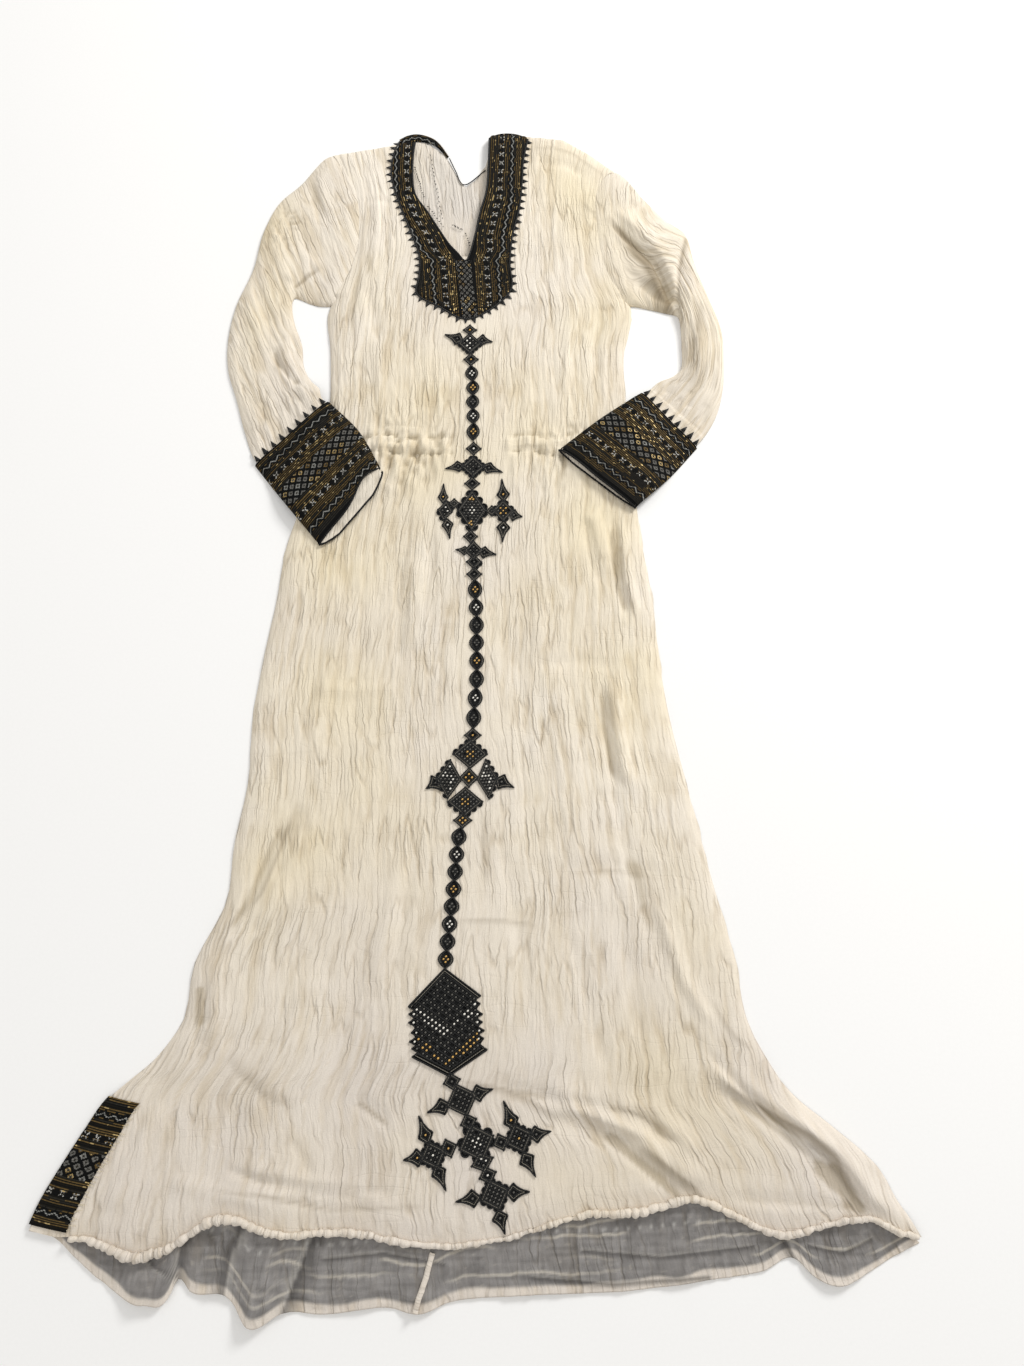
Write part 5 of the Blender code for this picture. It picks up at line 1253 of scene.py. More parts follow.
def makeNeckBand():
    look = neckLook
    places = np.linspace(0, 1, look["rows"])
    inner, outer, long = neckEdges(places)
    share = np.linspace(0, 1, look["columns"])[None, :, None]
    flat = inner[:, None, :] + share * (outer - inner)[:, None, :]
    x, y = flat[..., 0], flat[..., 1]
    q = share[..., 0] + np.zeros(x.shape)
    dome = softStep(0.972, 1.0, places)[:, None] * np.sqrt(np.clip(1 - (2 * q - 1) ** 2, 0, 1))
    y = y + 12.0 * dome
    z = frontBase(x, y) + look["lift"] - 1.0 * softStep(0.06, 0.0,
                                                        q) - 0.9 * softStep(0.95, 1.0,
                                                                q) + 0.35 * noiseAt(x / 24, y / 24, 68)
    a, l, across = neckWeavePlace(x, y)
    piece = wovenPiece("neckBand", np.stack([x, y, z], axis=-1), a, l, neckWeave, seeds["bands"] + 9,
                       gridFaces(look["rows"], look["columns"]), ("neck_band",), across)
    count = int(long / look["pointPitch"])
    spots = []
    middle, edge, _ = neckEdges((np.arange(count) + 0.5) / count)
    ahead = neckEdges((np.arange(count) + 0.6) / count)[1] - edge
    for m, e, step in zip(middle, edge, ahead):
        normal = np.array([step[1], -step[0]]) / np.hypot(*step)
        if normal @ (e - m) < 0:
            normal = -normal
        spot = e + normal * 1.0
        z = float(frontBase(np.array([spot[0]]), np.array([spot[1]]))[0])
        spots.append((spot[0], spot[1], z + 0.9, math.atan2(normal[1], normal[0])))
    finishPiece(stitchPiece("neckPoints", spots, (6.4, 6.0, 1.5), blackCord, True, 0.16), None)
    inside = neckEdges(np.linspace(0.0, 1.0, 420))[0]
    z = frontBase(inside[:, 0], inside[:, 1]) + 0.5
    outside = neckEdges(np.linspace(0.0, 1.0, 420))[1]
    zOut = frontBase(outside[:, 0], outside[:, 1]) + 0.75
    finishPiece(cordPiece("neckEdge", [np.column_stack([inside, z]), np.column_stack([outside, zOut])], 1.2,
                          blackCord, sides=6), None)

    path = curveAt([0, 14, 28, 42, 58, 72], [(-112, 693), (-100, 700), (-86, 702), (-70, 697), (-57, 686),
                                             (-44, 665)], np.linspace(0, 72, 60))
    ahead = np.gradient(path, axis=0)
    inward = np.stack([ahead[:, 1], -ahead[:, 0]], axis=-1) / np.hypot(ahead[:, 0], ahead[:, 1])[:, None]
    share = np.linspace(0, 1, 13)[None, :]
    wide = np.interp(np.linspace(0, 72, 60), [0, 20, 44, 58, 72], [11, 13, 10, 6.5, 3.0])[:, None]
    flat = path[:, None, :] + (share * wide)[..., None] * inward[:, None, :]
    z = 2.4 + 1.4 * np.sqrt(np.clip(1 - (2 * share - 1) ** 2, 0, 1)) + np.zeros((60, 1))
    a, l = share * wide + 24, np.linspace(0, 72, 60)[:, None] + np.zeros((1, 13))
    piece = wovenPiece("backNeckBand", np.dstack([flat, z]), a, l, neckWeave, 77,
                       gridFaces(60, 13, flip=True), ("back_neck_band",))
    # the dark edge of the back's own V, and the stitch ends of the band that show on the inside
    edge = curveAt([0, 20, 50, 78], [(-44, 663), (-36, 644), (-23, 622), (4, 645)], np.linspace(0, 78, 40))
    finishPiece(cordPiece("backNeckEdge", [np.column_stack([edge, 2.9 - 0.012 * np.arange(40)])], 0.7,
                          blackCord, sides=5), None)
    ends = []
    rng = np.random.default_rng(seeds["threads"] + 1)
    runs = [((-90, 650), (-77, 601), 15), ((-72, 590), (-50, 556), 9), ((-39, 560), (-25, 552), 7),
            ((-22, 548), (-12, 520), 8),
            ((-70, 670), (-51, 566), 16)]
    for start, end, count in runs:
        seam = count == 16
        for k in range(count):
            at = (k + 0.3 + 0.4 * rng.random()) / count
            spot = (mixed(start[0], end[0], at) + rng.normal() * 0.4, mixed(start[1], end[1], at))
            turn = math.atan2(end[1] - start[1], end[0] - start[0]) + (0.2 if seam else 0.9) * rng.normal()
            ends.append((spot[0], spot[1], 3.7, turn))
    finishPiece(stitchPiece("neckStitchEnds", ends, (3.4, 1.2, 0.8), blackCord), None)


makeNeckBand()
print("neck band made")


# The hem band, under the back and round the left side, and the rolled hem of the front.

sidePlan = rowsOf("level width", [(-501, 33), (-530, 35), (-560, 36), (-590, 38), (-618, 38)])


def makeHemBands():
    rows, columns = 44, 330
    shareA = np.linspace(0.12, 0.88, rows)[:, None] + np.zeros((1, columns))
    level = -480 - 145 * shareA
    share = np.linspace(0.004, 0.996, columns)[None, :] + np.zeros((rows, 1))
    x = mixed(edgeAt(level, "left"), edgeAt(level, "right"), share)
    y = panelY(level, x, backHem, -480, backNeck)
    z = 0.12 + backLift(x, y)
    a, l = (shareA - 0.12) * 160, x + 500
    piece = wovenPiece("hemBand", np.stack([x, y, z], axis=-1), a, l, hemWeave, 78,
                       gridFaces(rows, columns), ("hem_band",))

    rows, columns = 118, 40
    a = np.linspace(0, 128, rows)[:, None] + np.zeros((1, columns))
    level = mixed(-499.0, -620.0, a / 128)
    across = np.concatenate([np.linspace(-7, 0, 7)[:-1],
                             np.linspace(0, 1, columns - 6)])[None, :] + np.zeros((rows, 1))
    width = curveAt(-sidePlan["level"], sidePlan["width"], -level)
    l = np.where(across > 0, across * width, across)
    edge = edgeAt(level, "left")
    x = np.where(across > 0, edge + l, edge - 1.6 * softStep(0, -2, l))
    y = level - 0.2 * np.clip(l, 0, None)
    z = frontBase(np.maximum(x, edge + 5), y) + 1.0
    z = np.where(l < 4, mixed(0.3, z, np.sqrt(np.clip((l + 7) / 11, 0, 1))), z)
    piece = wovenPiece("hemBandSide", np.stack([x, y, z], axis=-1), a, l + 10, hemWeave, 79,
                       gridFaces(rows, columns, flip=True), ("hem_band_side",))
    rng = np.random.default_rng(seeds["threads"])
    frays = []
    for k in range(34):  # the cut ends of its threads
        level = -501 - 117 * (k + rng.random()) / 34
        wide = float(np.interp(-level, -sidePlan["level"], sidePlan["width"]))
        start = np.array([float(edgeAt(np.array(level), "left")) + wide - 0.5, level - 0.2 * wide])
        steps = np.linspace(0, 1, 6)[:, None]
        end = np.array([3.0 + 4 * rng.random(), -2.5 + 5 * rng.random()])
        bend = np.array([rng.normal() * 1.5, rng.normal() * 1.5])
        line = start + steps * end + steps * (1 - steps) * 2 * bend
        z = frontBase(line[:, 0], line[:, 1]) + 1.2
        frays.append(np.column_stack([line, z]))
    finishPiece(cordPiece("frayedThreads", frays, 0.28, creamCord, step=1.2, sides=4), None)


# A soft tube with its own cloth colour
def tubePiece(name, path, radius, sides, flatten=1.0, grey=0.0, seed=0):
    ahead = np.gradient(path, axis=0)
    level = np.hypot(ahead[:, 0], ahead[:, 1])
    normal = np.stack([-ahead[:, 1] / level, ahead[:, 0] / level, 0 * level], axis=-1)
    turn = np.linspace(0, 2 * math.pi, sides, endpoint=False)
    rings = path[:, None, :] + radius[..., None] * np.cos(turn)[None, :, None] * normal[:, None, :]
    rings[..., 2] += radius * np.sin(turn)[None, :] * flatten
    run = np.concatenate([[0], np.cumsum(np.linalg.norm(np.diff(path, axis=0), axis=1))])
    uv = np.stack([run[:, None] + 0 * radius, turn[None, :] * 4 + 0 * radius], axis=-1)
    count = len(path)
    faces = loopFaces(count, sides, flip=True)
    piece = meshOf(name, rings.reshape(-1, 3), faces, uv.reshape(-1, 2))
    x, y = rings[..., 0], rings[..., 1]
    tone = toneOf(x, y, 0 * x, seed, grey)
    pointValues(piece, "tone", tone.reshape(-1, 3))
    return piece


def makeHemRoll():
    x = np.linspace(-408, 449, 620)
    hem = curveAt(frontHem["x"], frontHem["y"], x)
    y = hem - 1.3 + 0.9 * noiseAt(x / 13, 0 * x, 51) + 0.5 * noiseAt(x / 4.1, 0 * x, 56)
    radius = np.interp(x, [-408, -350, -200, -130, -40, 40, 110, 210, 250, 380, 449],
                       [3.0, 4.3, 3.9, 3.2, 2.9, 2.2, 2.8, 4.0, 3.2, 3.0, 2.4])
    radius = radius + 0.6 * noiseAt(x / 19, 0 * x, 52) + 0.35 * noiseAt(x / 6.3, 0 * x, 57)
    # The rolling stitches pinch it every 6 to 14 mm, some tighter than others.
    pinch = np.abs(np.sin(math.pi * (x / 9.6 + 0.8 * noiseAt(x / 24, 0 * x, 53))))
    tight = 0.24 + 0.2 * noiseAt(x / 15, 0 * x, 58)
    radius = np.clip(radius * (1.0 - tight + tight * 1.4 * np.sqrt(pinch)), 1.3, 5.0)
    floorZ = backLow(x, y, np.full(x.shape, -600.0)) + backLook["wall"] + 0.9
    z = np.maximum(floorZ + radius, 4.2)
    sides = 14
    turn = np.linspace(0, 2 * math.pi, sides, endpoint=False)
    wrinkle = 1 + 0.2 * noiseAt(x[:, None] / 2.6, turn[None, :] * 1.4, 54)
    piece = tubePiece("hemRoll", np.column_stack([x, y, z]), radius[:, None] * wrinkle,
                      sides, seed=seeds["tone"])
    finishPiece(piece, gauze, ("front_hem_roll",))
    share = np.linspace(0, 1, 40)
    path = curveAt([0, 0.33, 0.7, 1], [(-41, -646), (-47, -668), (-54, -688), (-57, -699)], share)
    z = backLow(path[:, 0], path[:, 1], np.full(40, -600.0)) + 1.6
    ridge = tubePiece("backSeam", np.column_stack([path, z + 0.8]),
                      2.9 + 0.35 * noiseAt(share[:, None] * 9,
                                           np.arange(10)[None, :] * 0.7, 55), 10, 0.55, seed=5)
    finishPiece(ridge, gauze, ("back_seam",))


makeHemBands()
makeHemRoll()
print("hems made")



# The embroidery down the front: couched cords on a dark ground, laid as lattice blocks, small diamonds,
# kites, chain
# links and scallops, with knots in the cells.

embroideryLook = dict(cord=0.84, thin=0.62, ground=0.4, over=1.2, cell=4.0, hexCell=4.7)
knots = dict(white=[], gold=[], grey=[])


heightX, heightY = np.linspace(-110, 110, 111), np.linspace(-660, 440, 551)
heightTable = frontBase(*np.meshgrid(heightX, heightY, indexing="ij"))


def onFront(points, lift):  # puts places on the front's cloth, from a table of its heights every 2 mm
    points = np.asarray(points, float)
    a, b = (points[:, 0] + 110) / 2, (points[:, 1] + 660) / 2
    i, j = np.clip(np.floor(a).astype(int), 0, 109), np.clip(np.floor(b).astype(int), 0, 549)
    low = mixed(heightTable[i, j], heightTable[i + 1, j], a - i)
    high = mixed(heightTable[i, j + 1], heightTable[i + 1, j + 1], a - i)
    return np.column_stack([points, mixed(low, high, b - j) + lift])


def lineOf(a, b, lift, step=3.0):
    count = max(2, int(math.dist(a, b) / step) + 1)
    return onFront(np.linspace(a, b, count), lift)


def knot(place, colour, lift=1.35):
    knots[colour].append((place[0], place[1], float(onFront([place], lift)[0, 2]), 0.7))


def knotsInCells(cells, kind, middle):
    rng = np.random.default_rng(len(cells) * 7 + int(abs(middle[1])))
    for cell in cells:
        near = math.dist(cell, middle) < 4.6
        chance = rng.random()
        if kind == "dark":
            colour = "grey"
        elif kind in ("white", "gold"):
            colour = kind if near else "grey"
        else:
            colour = "white" if chance > 0.66 else "grey"
        if near or chance > 0.06:
            knot(cell, colour)


def groundPlate(outline):  # the dark ground inside an outline, as rings of points that follow the cloth
    outline = np.asarray(outline, float)
    after = np.roll(outline, -1, axis=0)
    edge = np.concatenate([np.linspace(a, b, 4)[:-1] for a, b in zip(outline, after)])
    middle = edge.mean(axis=0)
    rings = [onFront(edge, -0.3)] + [onFront(middle + (edge - middle) * s, embroideryLook["ground"])
                                     for s in (0.995, 0.66, 0.33, 0.02)]
    return np.concatenate(rings), loopFaces(5, len(edge))


class Motif:
    def __init__(self):
        # lines are painted highlights: thin grey cords laid between doubled black outlines
        self.cords, self.thin, self.plates, self.lines = [], [], [], []

    def block(self, x, y, across, up, turn=0.0, kind="dark", scallops="", loop=3.0):
        t = math.radians(turn)
        right = across * np.array([math.cos(t), math.sin(t)])
        top = up * np.array([-math.sin(t), math.cos(t)])
        one, two, c = (right + top) / 2, (top - right) / 2, np.array([x, y])
        side = math.hypot(*one) * 2

        def at(s, r):
            return c + s * one + r * two

        self.plates.append([at(1, 1), at(-1, 1), at(-1, -1), at(1, -1)])
        over = embroideryLook["over"] * 2 / side
        inset, half = 1 - 2 * 2.3 / side, 1 - 1.15 * 2 / side
        lift = 1.15
        for s in (1.0, -1.0):
            self.cords.append(lineOf(at(s, -1 - over), at(s, 1 + over), lift))
            self.cords.append(lineOf(at(-1 - over, s), at(1 + over, s), lift + 0.25))
            self.cords.append(lineOf(at(s * inset, -inset), at(s * inset, inset), lift))
            self.cords.append(lineOf(at(-inset, s * inset), at(inset, s * inset), lift + 0.2))
            self.lines.append(lineOf(at(s * half, -half), at(s * half, half), lift + 0.1))
            self.lines.append(lineOf(at(-half, s * half), at(half, s * half), lift + 0.2))
        count = int((side * inset) / embroideryLook["cell"])
        marks = np.linspace(-inset, inset, count + 1)
        for m in marks[1:-1]:
            self.thin.append(lineOf(at(m, -inset), at(m, inset), lift - 0.1))
            self.thin.append(lineOf(at(-inset, m), at(inset, m), lift + 0.1))
        if count < 2:
            knot(c, "gold" if kind == "gold" else ("white" if kind == "white" else "grey"))
        else:
            half = (marks[:-1] + marks[1:]) / 2
            knotsInCells([at(s, r) for s in half for r in half], kind, c)
        sides = dict(a=((-1, 1), (1, 1)), b=((1, 1), (1, -1)), c=((1, -1), (-1, -1)), d=((-1, -1), (-1, 1)))
        for name in scallops:  # a upper left, b upper right, c lower right, d lower left
            (s0, r0), (s1, r1) = sides[name]
            start, end = at(s0, r0), at(s1, r1)
            loops = max(2, round(side / (2.5 * loop)))
            for k in range(loops):
                place = mixed(start, end, (k + 0.5) / loops)
                self.scallop(*place, loop, toward=place - c)

    def scallop(self, x, y, radius, toward):
        heading = math.atan2(toward[1], toward[0])
        turn = np.linspace(heading - 1.9, heading + 1.9, 11)
        ring = np.stack([x + radius * np.cos(turn), y + radius * np.sin(turn)], axis=-1)
        self.cords.append(onFront(ring, 0.95))
        self.plates.append(ring)
        small = np.array([x, y]) + (ring - [x, y]) * 0.42
        self.thin.append(onFront(small, 0.95))

    def kite(self, back, tip, half, colour="grey"):
        back, tip = np.array(back, float), np.array(tip, float)
        ahead = tip - back
        aside = np.array([-ahead[1], ahead[0]]) / math.hypot(*ahead) * half

        def outline(size, shift):
            shape = [(0.0, 0.0), (0.16, 0.5), (0.33, 1.06), (0.48, 0.62), (0.72, 0.24), (1.04, 0.0)]
            points = [back + ahead * (shift + size * a) + aside * size * b for a, b in shape]
            return points + [back + ahead * (shift + size * a) - aside * size * b
                             for a, b in shape[-2:0:-1]]

        outer = outline(1.0, 0.0)
        self.plates.append(outer)
        self.cords.append(onFront(np.array(outer + outer[:1]), 1.15))
        inner = outline(0.5, 0.155)
        self.thin.append(onFront(np.array(inner + inner[:1]), 1.1))
        between = outline(0.72, 0.09)
        self.lines.append(onFront(np.array(between + between[:1]), 1.2))
        knot(back + ahead * 0.34, colour)

    def chain(self, crossings, colours, half=7.4):
        crossings = np.array(crossings, float)
        for k, colour in enumerate(colours):
            start, end = crossings[k], crossings[k + 1]
            ahead = end - start
            aside = np.array([-ahead[1], ahead[0]]) / math.hypot(*ahead)
            share = np.linspace(-0.04, 1.04, 15)
            swing = np.sin(math.pi * np.clip(share, 0,
                                             1)) ** 0.82 * np.where((share < 0) | (share > 1), 0, 1)
            line = start + share[:, None] * ahead
            for sign in (1, -1):
                for reach, strands in ((half, self.cords), (half - 2.4, self.cords),
                                       (half - 1.2, self.lines)):
                    bowed = line + (sign * reach * swing)[:, None] * aside
                    strands.append(onFront(bowed, 1.15 + 0.2 * sign))
            edge = [start + s * ahead + half * math.sin(math.pi * s) ** 0.8 * aside
                    for s in np.linspace(0, 1, 8)]
            edge += [start + s * ahead - half * math.sin(math.pi * s) ** 0.8 * aside
                     for s in np.linspace(1, 0, 8)[1:-1]]
            self.plates.append(edge)
            centre = (start + end) / 2
            unit = ahead / math.hypot(*ahead)
            for a, b in ((2.9, 0), (-2.9, 0), (0, 2.4), (0, -2.4)):
                knot(centre + a * unit + b * aside, colour, 1.2)
            for a, b in ((1, 1), (1, -1)):
                across = 2.6 * unit * a + 2.2 * aside * b
                self.thin.append(lineOf(centre - across, centre + across, 1.05, 2.0))


def inPolygon(start, ahead, polygon):  # the part of a line that is inside a convex outline
    spans = []
    for a, b in zip(polygon, polygon[1:] + polygon[:1]):
        a, b = np.array(a, float), np.array(b, float)
        edge = b - a
        cross = ahead[0] * edge[1] - ahead[1] * edge[0]
        if abs(cross) > 1e-9:
            t = ((a[0] - start[0]) * edge[1] - (a[1] - start[1]) * edge[0]) / cross
            s = ((a[0] - start[0]) * ahead[1] - (a[1] - start[1]) * ahead[0]) / cross
            if 0 <= s <= 1:
                spans.append(t)
    return (min(spans), max(spans)) if len(spans) > 1 else None


def hexagonMotif():
    motif = Motif()
    corners = [(-33, -371), (-71, -410), (-66, -460), (-27, -479), (13, -453), (6, -399)]
    inner = [(-33, -376), (-65, -410), (-60, -457), (-27, -473), (6, -451), (1, -401)]
    leftTips = [(-71, -410), (-70.5, -417.5), (-70.5, -426), (-67.5, -436), (-69, -445),
                (-66.5, -452), (-66, -460)]
    rightTips = [(6, -399), (5.5, -407), (8, -417.5), (8, -425.5), (10, -434), (9.5, -442), (13, -453)]
    notched = [corners[0]]
    for tips, inward in ((leftTips, 5.0), (rightTips[::-1], -5.0)):
        for tip, after in zip(tips, tips[1:]):
            notched += [tip, ((tip[0] + after[0]) / 2 + inward, (tip[1] + after[1]) / 2)]
        notched.append(tips[-1])
        notched += [corners[3]] if inward > 0 else []
    motif.plates.append(notched)
    centre, cell = np.array([-30.0, -425.0]), embroideryLook["hexCell"]
    one, two = np.array([37.0, 34.0]) / math.hypot(37, 34), np.array([39.0, -25.0]) / math.hypot(39, 25)
    cross = one[0] * two[1] - one[1] * two[0]
    for ahead, other, lift in ((one, two, 1.0), (two, one, 1.2)):
        for k in range(-14, 15):
            start = centre + other * k * cell / abs(cross)
            span = inPolygon(start, ahead, inner)
            if span and span[1] - span[0] > 3:
                thick = motif.cords if k % 3 == 0 else motif.thin
                thick.append(lineOf(start + ahead * span[0], start + ahead * span[1], lift))
    for ring in (corners, inner):
        for (a, b) in ((0, 1), (0, 5), (2, 3), (3, 4)):
            motif.cords.append(lineOf(ring[a], ring[b], 1.25))
    for (a, b) in ((0, 1), (0, 5), (2, 3), (3, 4)):
        start, end = (mixed(np.array(corners[k], float), np.array(inner[k], float), 0.5) for k in (a, b))
        motif.lines.append(lineOf(start, end, 1.3))
    for i in range(-14, 15):
        for j in range(-14, 15):
            place = centre + (one * (i + 0.5) + two * (j + 0.5)) * cell / abs(cross)
            span = inPolygon(place, np.array([1.0, 0.0]), inner)
            if span is None or not (span[0] < -2 and span[1] > 2):
                continue
            x, y = place
            if abs(y + 434 - 0.7 * abs(x + 33)) < 4.3 and i % 3 != 2:
                knot(place, "white")
            elif abs(y + 467 - 0.78 * abs(x + 31)) < 4.3 and j % 3 != 2:
                knot(place, "gold")
            elif (i + 2 * j) % 4 != 0:
                knot(place, "grey", 1.15)
    for tips, inward in ((leftTips, 7.0), (rightTips, -7.0)):
        for (x, y) in tips:
            motif.cords.append(lineOf((x, y), (x + inward, y + 3.6), 1.2, 2.5))
            motif.cords.append(lineOf((x, y), (x + inward, y - 3.6), 1.2, 2.5))
        for (x, y) in tips[1:-1]:
            knot((x + inward * 0.8, y), "white" if y > -447 else "grey")
    return motif


def topMotifs():
    cross = Motif()
    cross.block(-13.8, 383, 14.2, 13.8, 0, "mixed", "cd")
    cross.kite((-22, 386.6), (-45, 395.2), 8.2)
    cross.kite((-5, 388.4), (13.8, 385.2), 8.0)
    chain = Motif()
    chain.chain([(-12.5, 351), (-9.6, 331), (-9.4, 311.5), (-9.3, 292), (-8.3, 272.5), (-8.6, 250)],
                ["white", "gold", "grey", "white", "gold"])
    return cross, chain


def waistMotif():
    motif = Motif()
    motif.block(-8.2, 214.2, 13.6, 13.2, 0, "dark", "abcd")
    motif.kite((-19, 216), (-41, 211.8), 6.8)
    motif.kite((3, 215.5), (26.6, 207.2), 7.2)
    motif.block(-9.0, 157.2, 16.6, 25.6, 0, "white", "abcd", 4.4)
    for x, y in ((-9.5, 173.4), (-11.5, 171.4), (-7.6, 171.2), (-10, 142.6), (-12, 140.4), (-9.5, 138.6)):
        knot((x, y), "gold", 1.6)
    motif.block(-30.5, 166, 6.4, 5.6)
    motif.block(-41.3, 156.6, 8.6, 12.6, -8, "mixed", "bd")
    motif.kite((-44, 166), (-43.6, 191.3), 5.6, "gold")
    motif.kite((-39.4, 147), (-35.1, 121.5), 6.6, "white")
    motif.block(14.6, 156.4, 6.4, 6.0)
    motif.block(28.4, 156.6, 12.6, 13.4, 0, "gold", "abcd")
    motif.kite((29.2, 168), (26.8, 197.1), 7.2, "gold")
    motif.kite((36, 152), (51.2, 148.9), 7.6)
    motif.kite((29.2, 144), (27.6, 116.9), 7.6, "white")
    motif.block(-6.6, 105.9, 10.6, 11.6, 0, "dark", "")
    motif.kite((-12.4, 105), (-27.4, 107), 5.4)
    motif.kite((-1, 104.8), (20, 100.8), 7.2)
    motif.block(-5.9, 91.4, 8.6, 8.6, 0, "dark", "c")
    return motif


def lowerCross():
    motif = Motif()
    motif.block(-8.2, -138.8, 19.0, 16.2, 0, "gold", "ab")
    motif.block(-9.3, -165.3, 10.2, 10.8, 0, "gold")
    motif.block(-31.6, -167.2, 13.8, 21.7, -3, "mixed", "ad")
    motif.block(11.4, -167.0, 11.2, 22.0, 5, "mixed", "bc")
    motif.kite((-41.5, -168), (-56.5, -177.6), 9.4)
    motif.kite((20.5, -167), (40.6, -176.4), 8.8)
    motif.block(-13.2, -192.4, 19.2, 16.0, 0, "gold", "cd")
    return motif


def hemCross():
    motif = Motif()
    motif.block(-13.3, -502.4, 16.6, 16.6, 21, "dark", "")
    motif.kite((-25.5, -505.6), (-48.4, -514.3), 8.2)
    motif.kite((-3.4, -497.6), (18.6, -491.8), 8.4)
    motif.block(-5.9, -523.4, 8.4, 8.4, 21)
    motif.block(2.5, -543.1, 18.6, 18.6, 21, "white", "abcd", 4.6)
    motif.block(8.6, -561.4, 11.5, 9.5, 21, "mixed", "")
    motif.block(27.6, -542.6, 8.4, 8.0, 21)
    motif.block(46.2, -539.0, 14.2, 14.2, 21, "gold", "abcd")
    motif.kite((41.8, -531), (30.4, -503.6), 7.8, "gold")
    motif.kite((56.5, -536.6), (78.6, -532.4), 8.2)
    motif.kite((50.0, -552), (62.8, -574.6), 8.0)
    motif.block(-26.3, -548.5, 8.8, 8.8, 21, "gold")
    motif.block(-42.1, -555.0, 13.4, 13.4, 21, "mixed", "abcd")
    motif.kite((-46.4, -545), (-57.2, -518), 7.8, "gold")
    motif.kite((-51, -556.4), (-72, -559.6), 8.6, "gold")
    motif.kite((-39.4, -563.5), (-28.4, -587.6), 7.6)
    motif.block(21.2, -592.2, 15.0, 15.0, 21, "dark", "abcd")
    motif.kite((7.4, -594), (-17.4, -598.4), 8.2)
    motif.kite((32.6, -590), (56.6, -589.2), 8.4)
    motif.kite((24.6, -606), (31.8, -628.2), 8.0)
    return motif


def smallDiamonds():
    motif = Motif()
    for x, y, across, up, turn, kind in (
            (-14, 401.8, 7.8, 6.6, 0, "gold"), (-12.2, 360.2, 8.4, 8.4, 0, "gold"),
            (-7.8, 238.2, 8.4, 8.4, 0, "white"),
            (-9, 192, 8.6, 8.2, 0, "dark"), (-10.4, 123.6, 7.8, 8.0, 0, "dark"),
            (-5.6, 76, 8.2, 8.4, 0, "dark"),
            (-5.5, -117.2, 8.8, 8.2, 0, "gold"), (-15.8, -213.2, 9.6, 8.2, 0, "gold"),
            (-23.7, -484.2, 8.6, 8.6, 15, "dark"),
            (14.2, -573.8, 8.8, 8.4, 21, "white")):
        motif.block(x, y, across, up, turn, kind)
    return motif


def makeEmbroidery():
    topCross, topChain = topMotifs()
    middleChain, lowChain = Motif(), Motif()
    middleChain.chain([(-4.8, 68.6), (-3.7, 45.5), (-2.3, 24.2), (-2.1, 2.4), (-1.9, -18.5),
                       (-1.3, -40.6), (-1.8, -62.4),
                       (-4.1, -85.3), (-4.8, -108.5)], ["gold", "white", "grey", "grey", "gold",
                                                        "grey", "white", "grey"], 7.9)
    lowChain.chain([(-17.8, -221.6), (-21.2, -241.2), (-22.4, -259.8), (-24.0, -278.4),
                    (-25.6, -297), (-27.4, -315.6),
                    (-29.4, -334), (-31.2, -352.4), (-32.8, -370.5)],
                    ["grey", "white", "grey", "gold", "grey", "white", "grey", "gold"], 7.9)
    motifs = dict(cross_top=topCross, chain_top=topChain, cross_waist=waistMotif(),
                  chain_middle=middleChain,
                  diamonds=smallDiamonds(), chain_low=lowChain,
                  hexagon=hexagonMotif(), cross_hem=hemCross())
    lowCross = lowerCross()
    for name in ("cords", "thin", "plates", "lines"):
        getattr(motifs["diamonds"], name).extend(getattr(lowCross, name))
    for node, motif in motifs.items():
        points, faces, first = [], [], 0
        for outline in motif.plates:
            area = sum(a[0] * b[1] - a[1] * b[0] for a,
                       b in zip(outline, list(outline[1:]) + list(outline[:1])))
            ring, quads = groundPlate(outline if area > 0 else outline[::-1])
            points.append(ring)
            faces.append(quads + first)
            first += len(ring)
        title = "".join(part.capitalize() for part in node.split("_"))
        ground = meshOf("embroideryGround" + title, np.concatenate(points), np.concatenate(faces))
        finishPiece(ground, darkGround, ("embroidery_" + node,))
        finishPiece(cordPiece("embroideryCords" + title, motif.cords, embroideryLook["cord"],
                              blackCord, step=2.0), None)
        finishPiece(cordPiece("embroideryLattice" + title, motif.thin, embroideryLook["thin"],
                              blackCord, step=2.2), None)
    # grey lines between doubled black cords, standing in for their gloss: painted highlights
    lines = [line for motif in motifs.values() for line in motif.lines]
    finishPiece(cordPiece("embroideryHighlights", lines, 0.4, highlightCord, step=2.6, sides=4), None)
    for colour, finish in (("white", whiteCord), ("gold", goldCord), ("grey", greyCord)):
        size = (2.9, 2.3, 1.5) if colour != "grey" else (2.9, 2.3, 1.1)
        finishPiece(stitchPiece("embroideryKnots" + colour.capitalize(), knots[colour],
                                size, finish), None)


makeEmbroidery()
print("embroidery made")


# Floor, light and camera.

stage = dict(floor="#fbfaf8", size=6.0, world=0.66, key=88.0, fill=6.0)


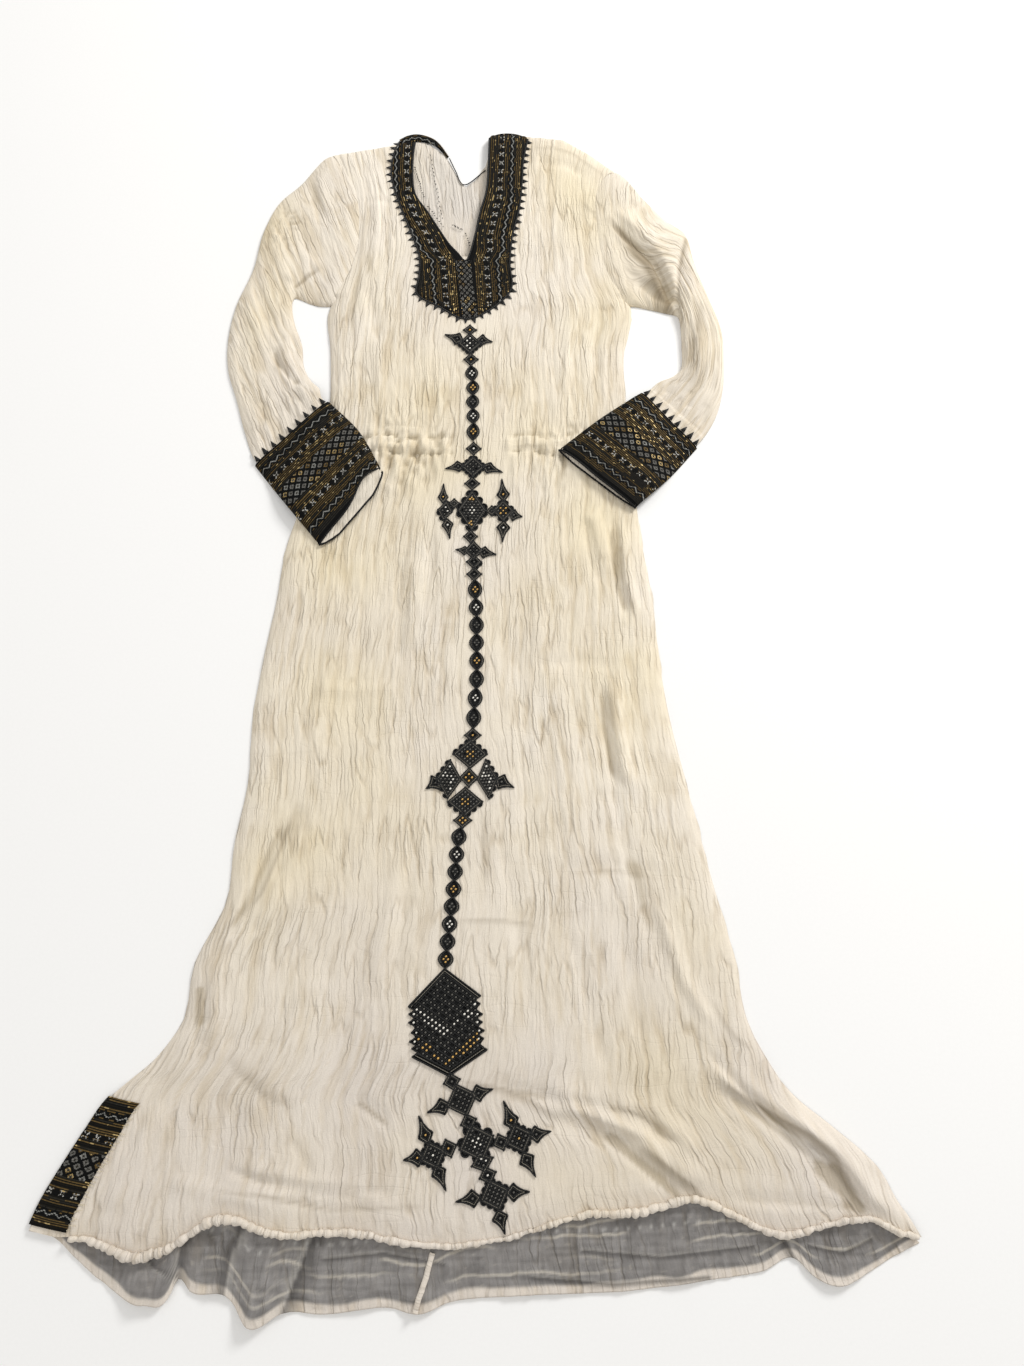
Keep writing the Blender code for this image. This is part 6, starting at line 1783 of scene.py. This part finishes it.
def makeFloor():
    # Matt white studio paper.
    material, tree, shader = newMaterial("matt white paper")
    place = addNode(tree, "ShaderNodeTexCoord")
    grain = addNode(tree, "ShaderNodeTexNoise", Vector=place.outputs["Object"], Scale=300.0, Detail=2.0)
    shade = addNode(tree, "ShaderNodeMapRange", Value=grain.outputs["Fac"], To_Min=0.97, To_Max=1.0)
    colour = addNode(tree, "ShaderNodeVectorMath", dict(operation="SCALE"), Scale=shade.outputs[0])
    colour.inputs[0].default_value = linearColour(stage["floor"])
    tree.links.new(colour.outputs[0], shader.inputs["Base Color"])
    shader.inputs["Roughness"].default_value = 1.0
    shader.inputs["Specular IOR Level"].default_value = 0.0
    half = stage["size"] / 2 / mm
    floor = meshOf("floor", [(-half, -half, 0), (half, -half, 0), (half, half, 0),
                             (-half, half, 0)], [(0, 1, 2, 3)])
    floor.data.materials.append(material)


def makeLight(name, place, size, power, target=(0.0, 0.0, 0.0)):
    light = bpy.data.lights.new(name, "AREA")
    light.shape = "RECTANGLE"
    light.size, light.size_y = size
    light.energy = power
    lamp = bpy.data.objects.new(name, light)
    bpy.context.scene.collection.objects.link(lamp)
    toward = np.array(target) - np.array(place)
    flat = math.hypot(toward[0], toward[1])
    lamp.location = place
    lamp.rotation_euler = (math.atan2(flat, -toward[2]), 0.0,
                           math.atan2(toward[1], toward[0]) - math.pi / 2)
    return lamp


def makeCamera():  # above the skirt, looking down and a little up towards the neck
    data = bpy.data.cameras.new("camera")
    data.lens, data.sensor_width = 26.0, 36.0
    data.clip_start = 0.05
    camera = bpy.data.objects.new("camera", data)
    bpy.context.scene.collection.objects.link(camera)
    camera.location = (0.039, -0.330, 1.106)
    camera.rotation_euler = (math.radians(14.0), 0.0, 0.0)
    bpy.context.scene.camera = camera


makeFloor()
makeCamera()
makeLight("key", (2.1, 2.2, 1.7), (0.9, 0.9), stage["key"])
makeLight("fill", (-1.6, -1.2, 2.2), (2.0, 2.0), stage["fill"])
world = bpy.data.worlds.new("studio")
world.use_nodes = True
world.node_tree.nodes["Background"].inputs["Color"].default_value = (1.0, 0.995, 0.985, 1.0)
world.node_tree.nodes["Background"].inputs["Strength"].default_value = stage["world"]
bpy.context.scene.world = world
bpy.context.scene.view_settings.view_transform = "Standard"
print("stage made")
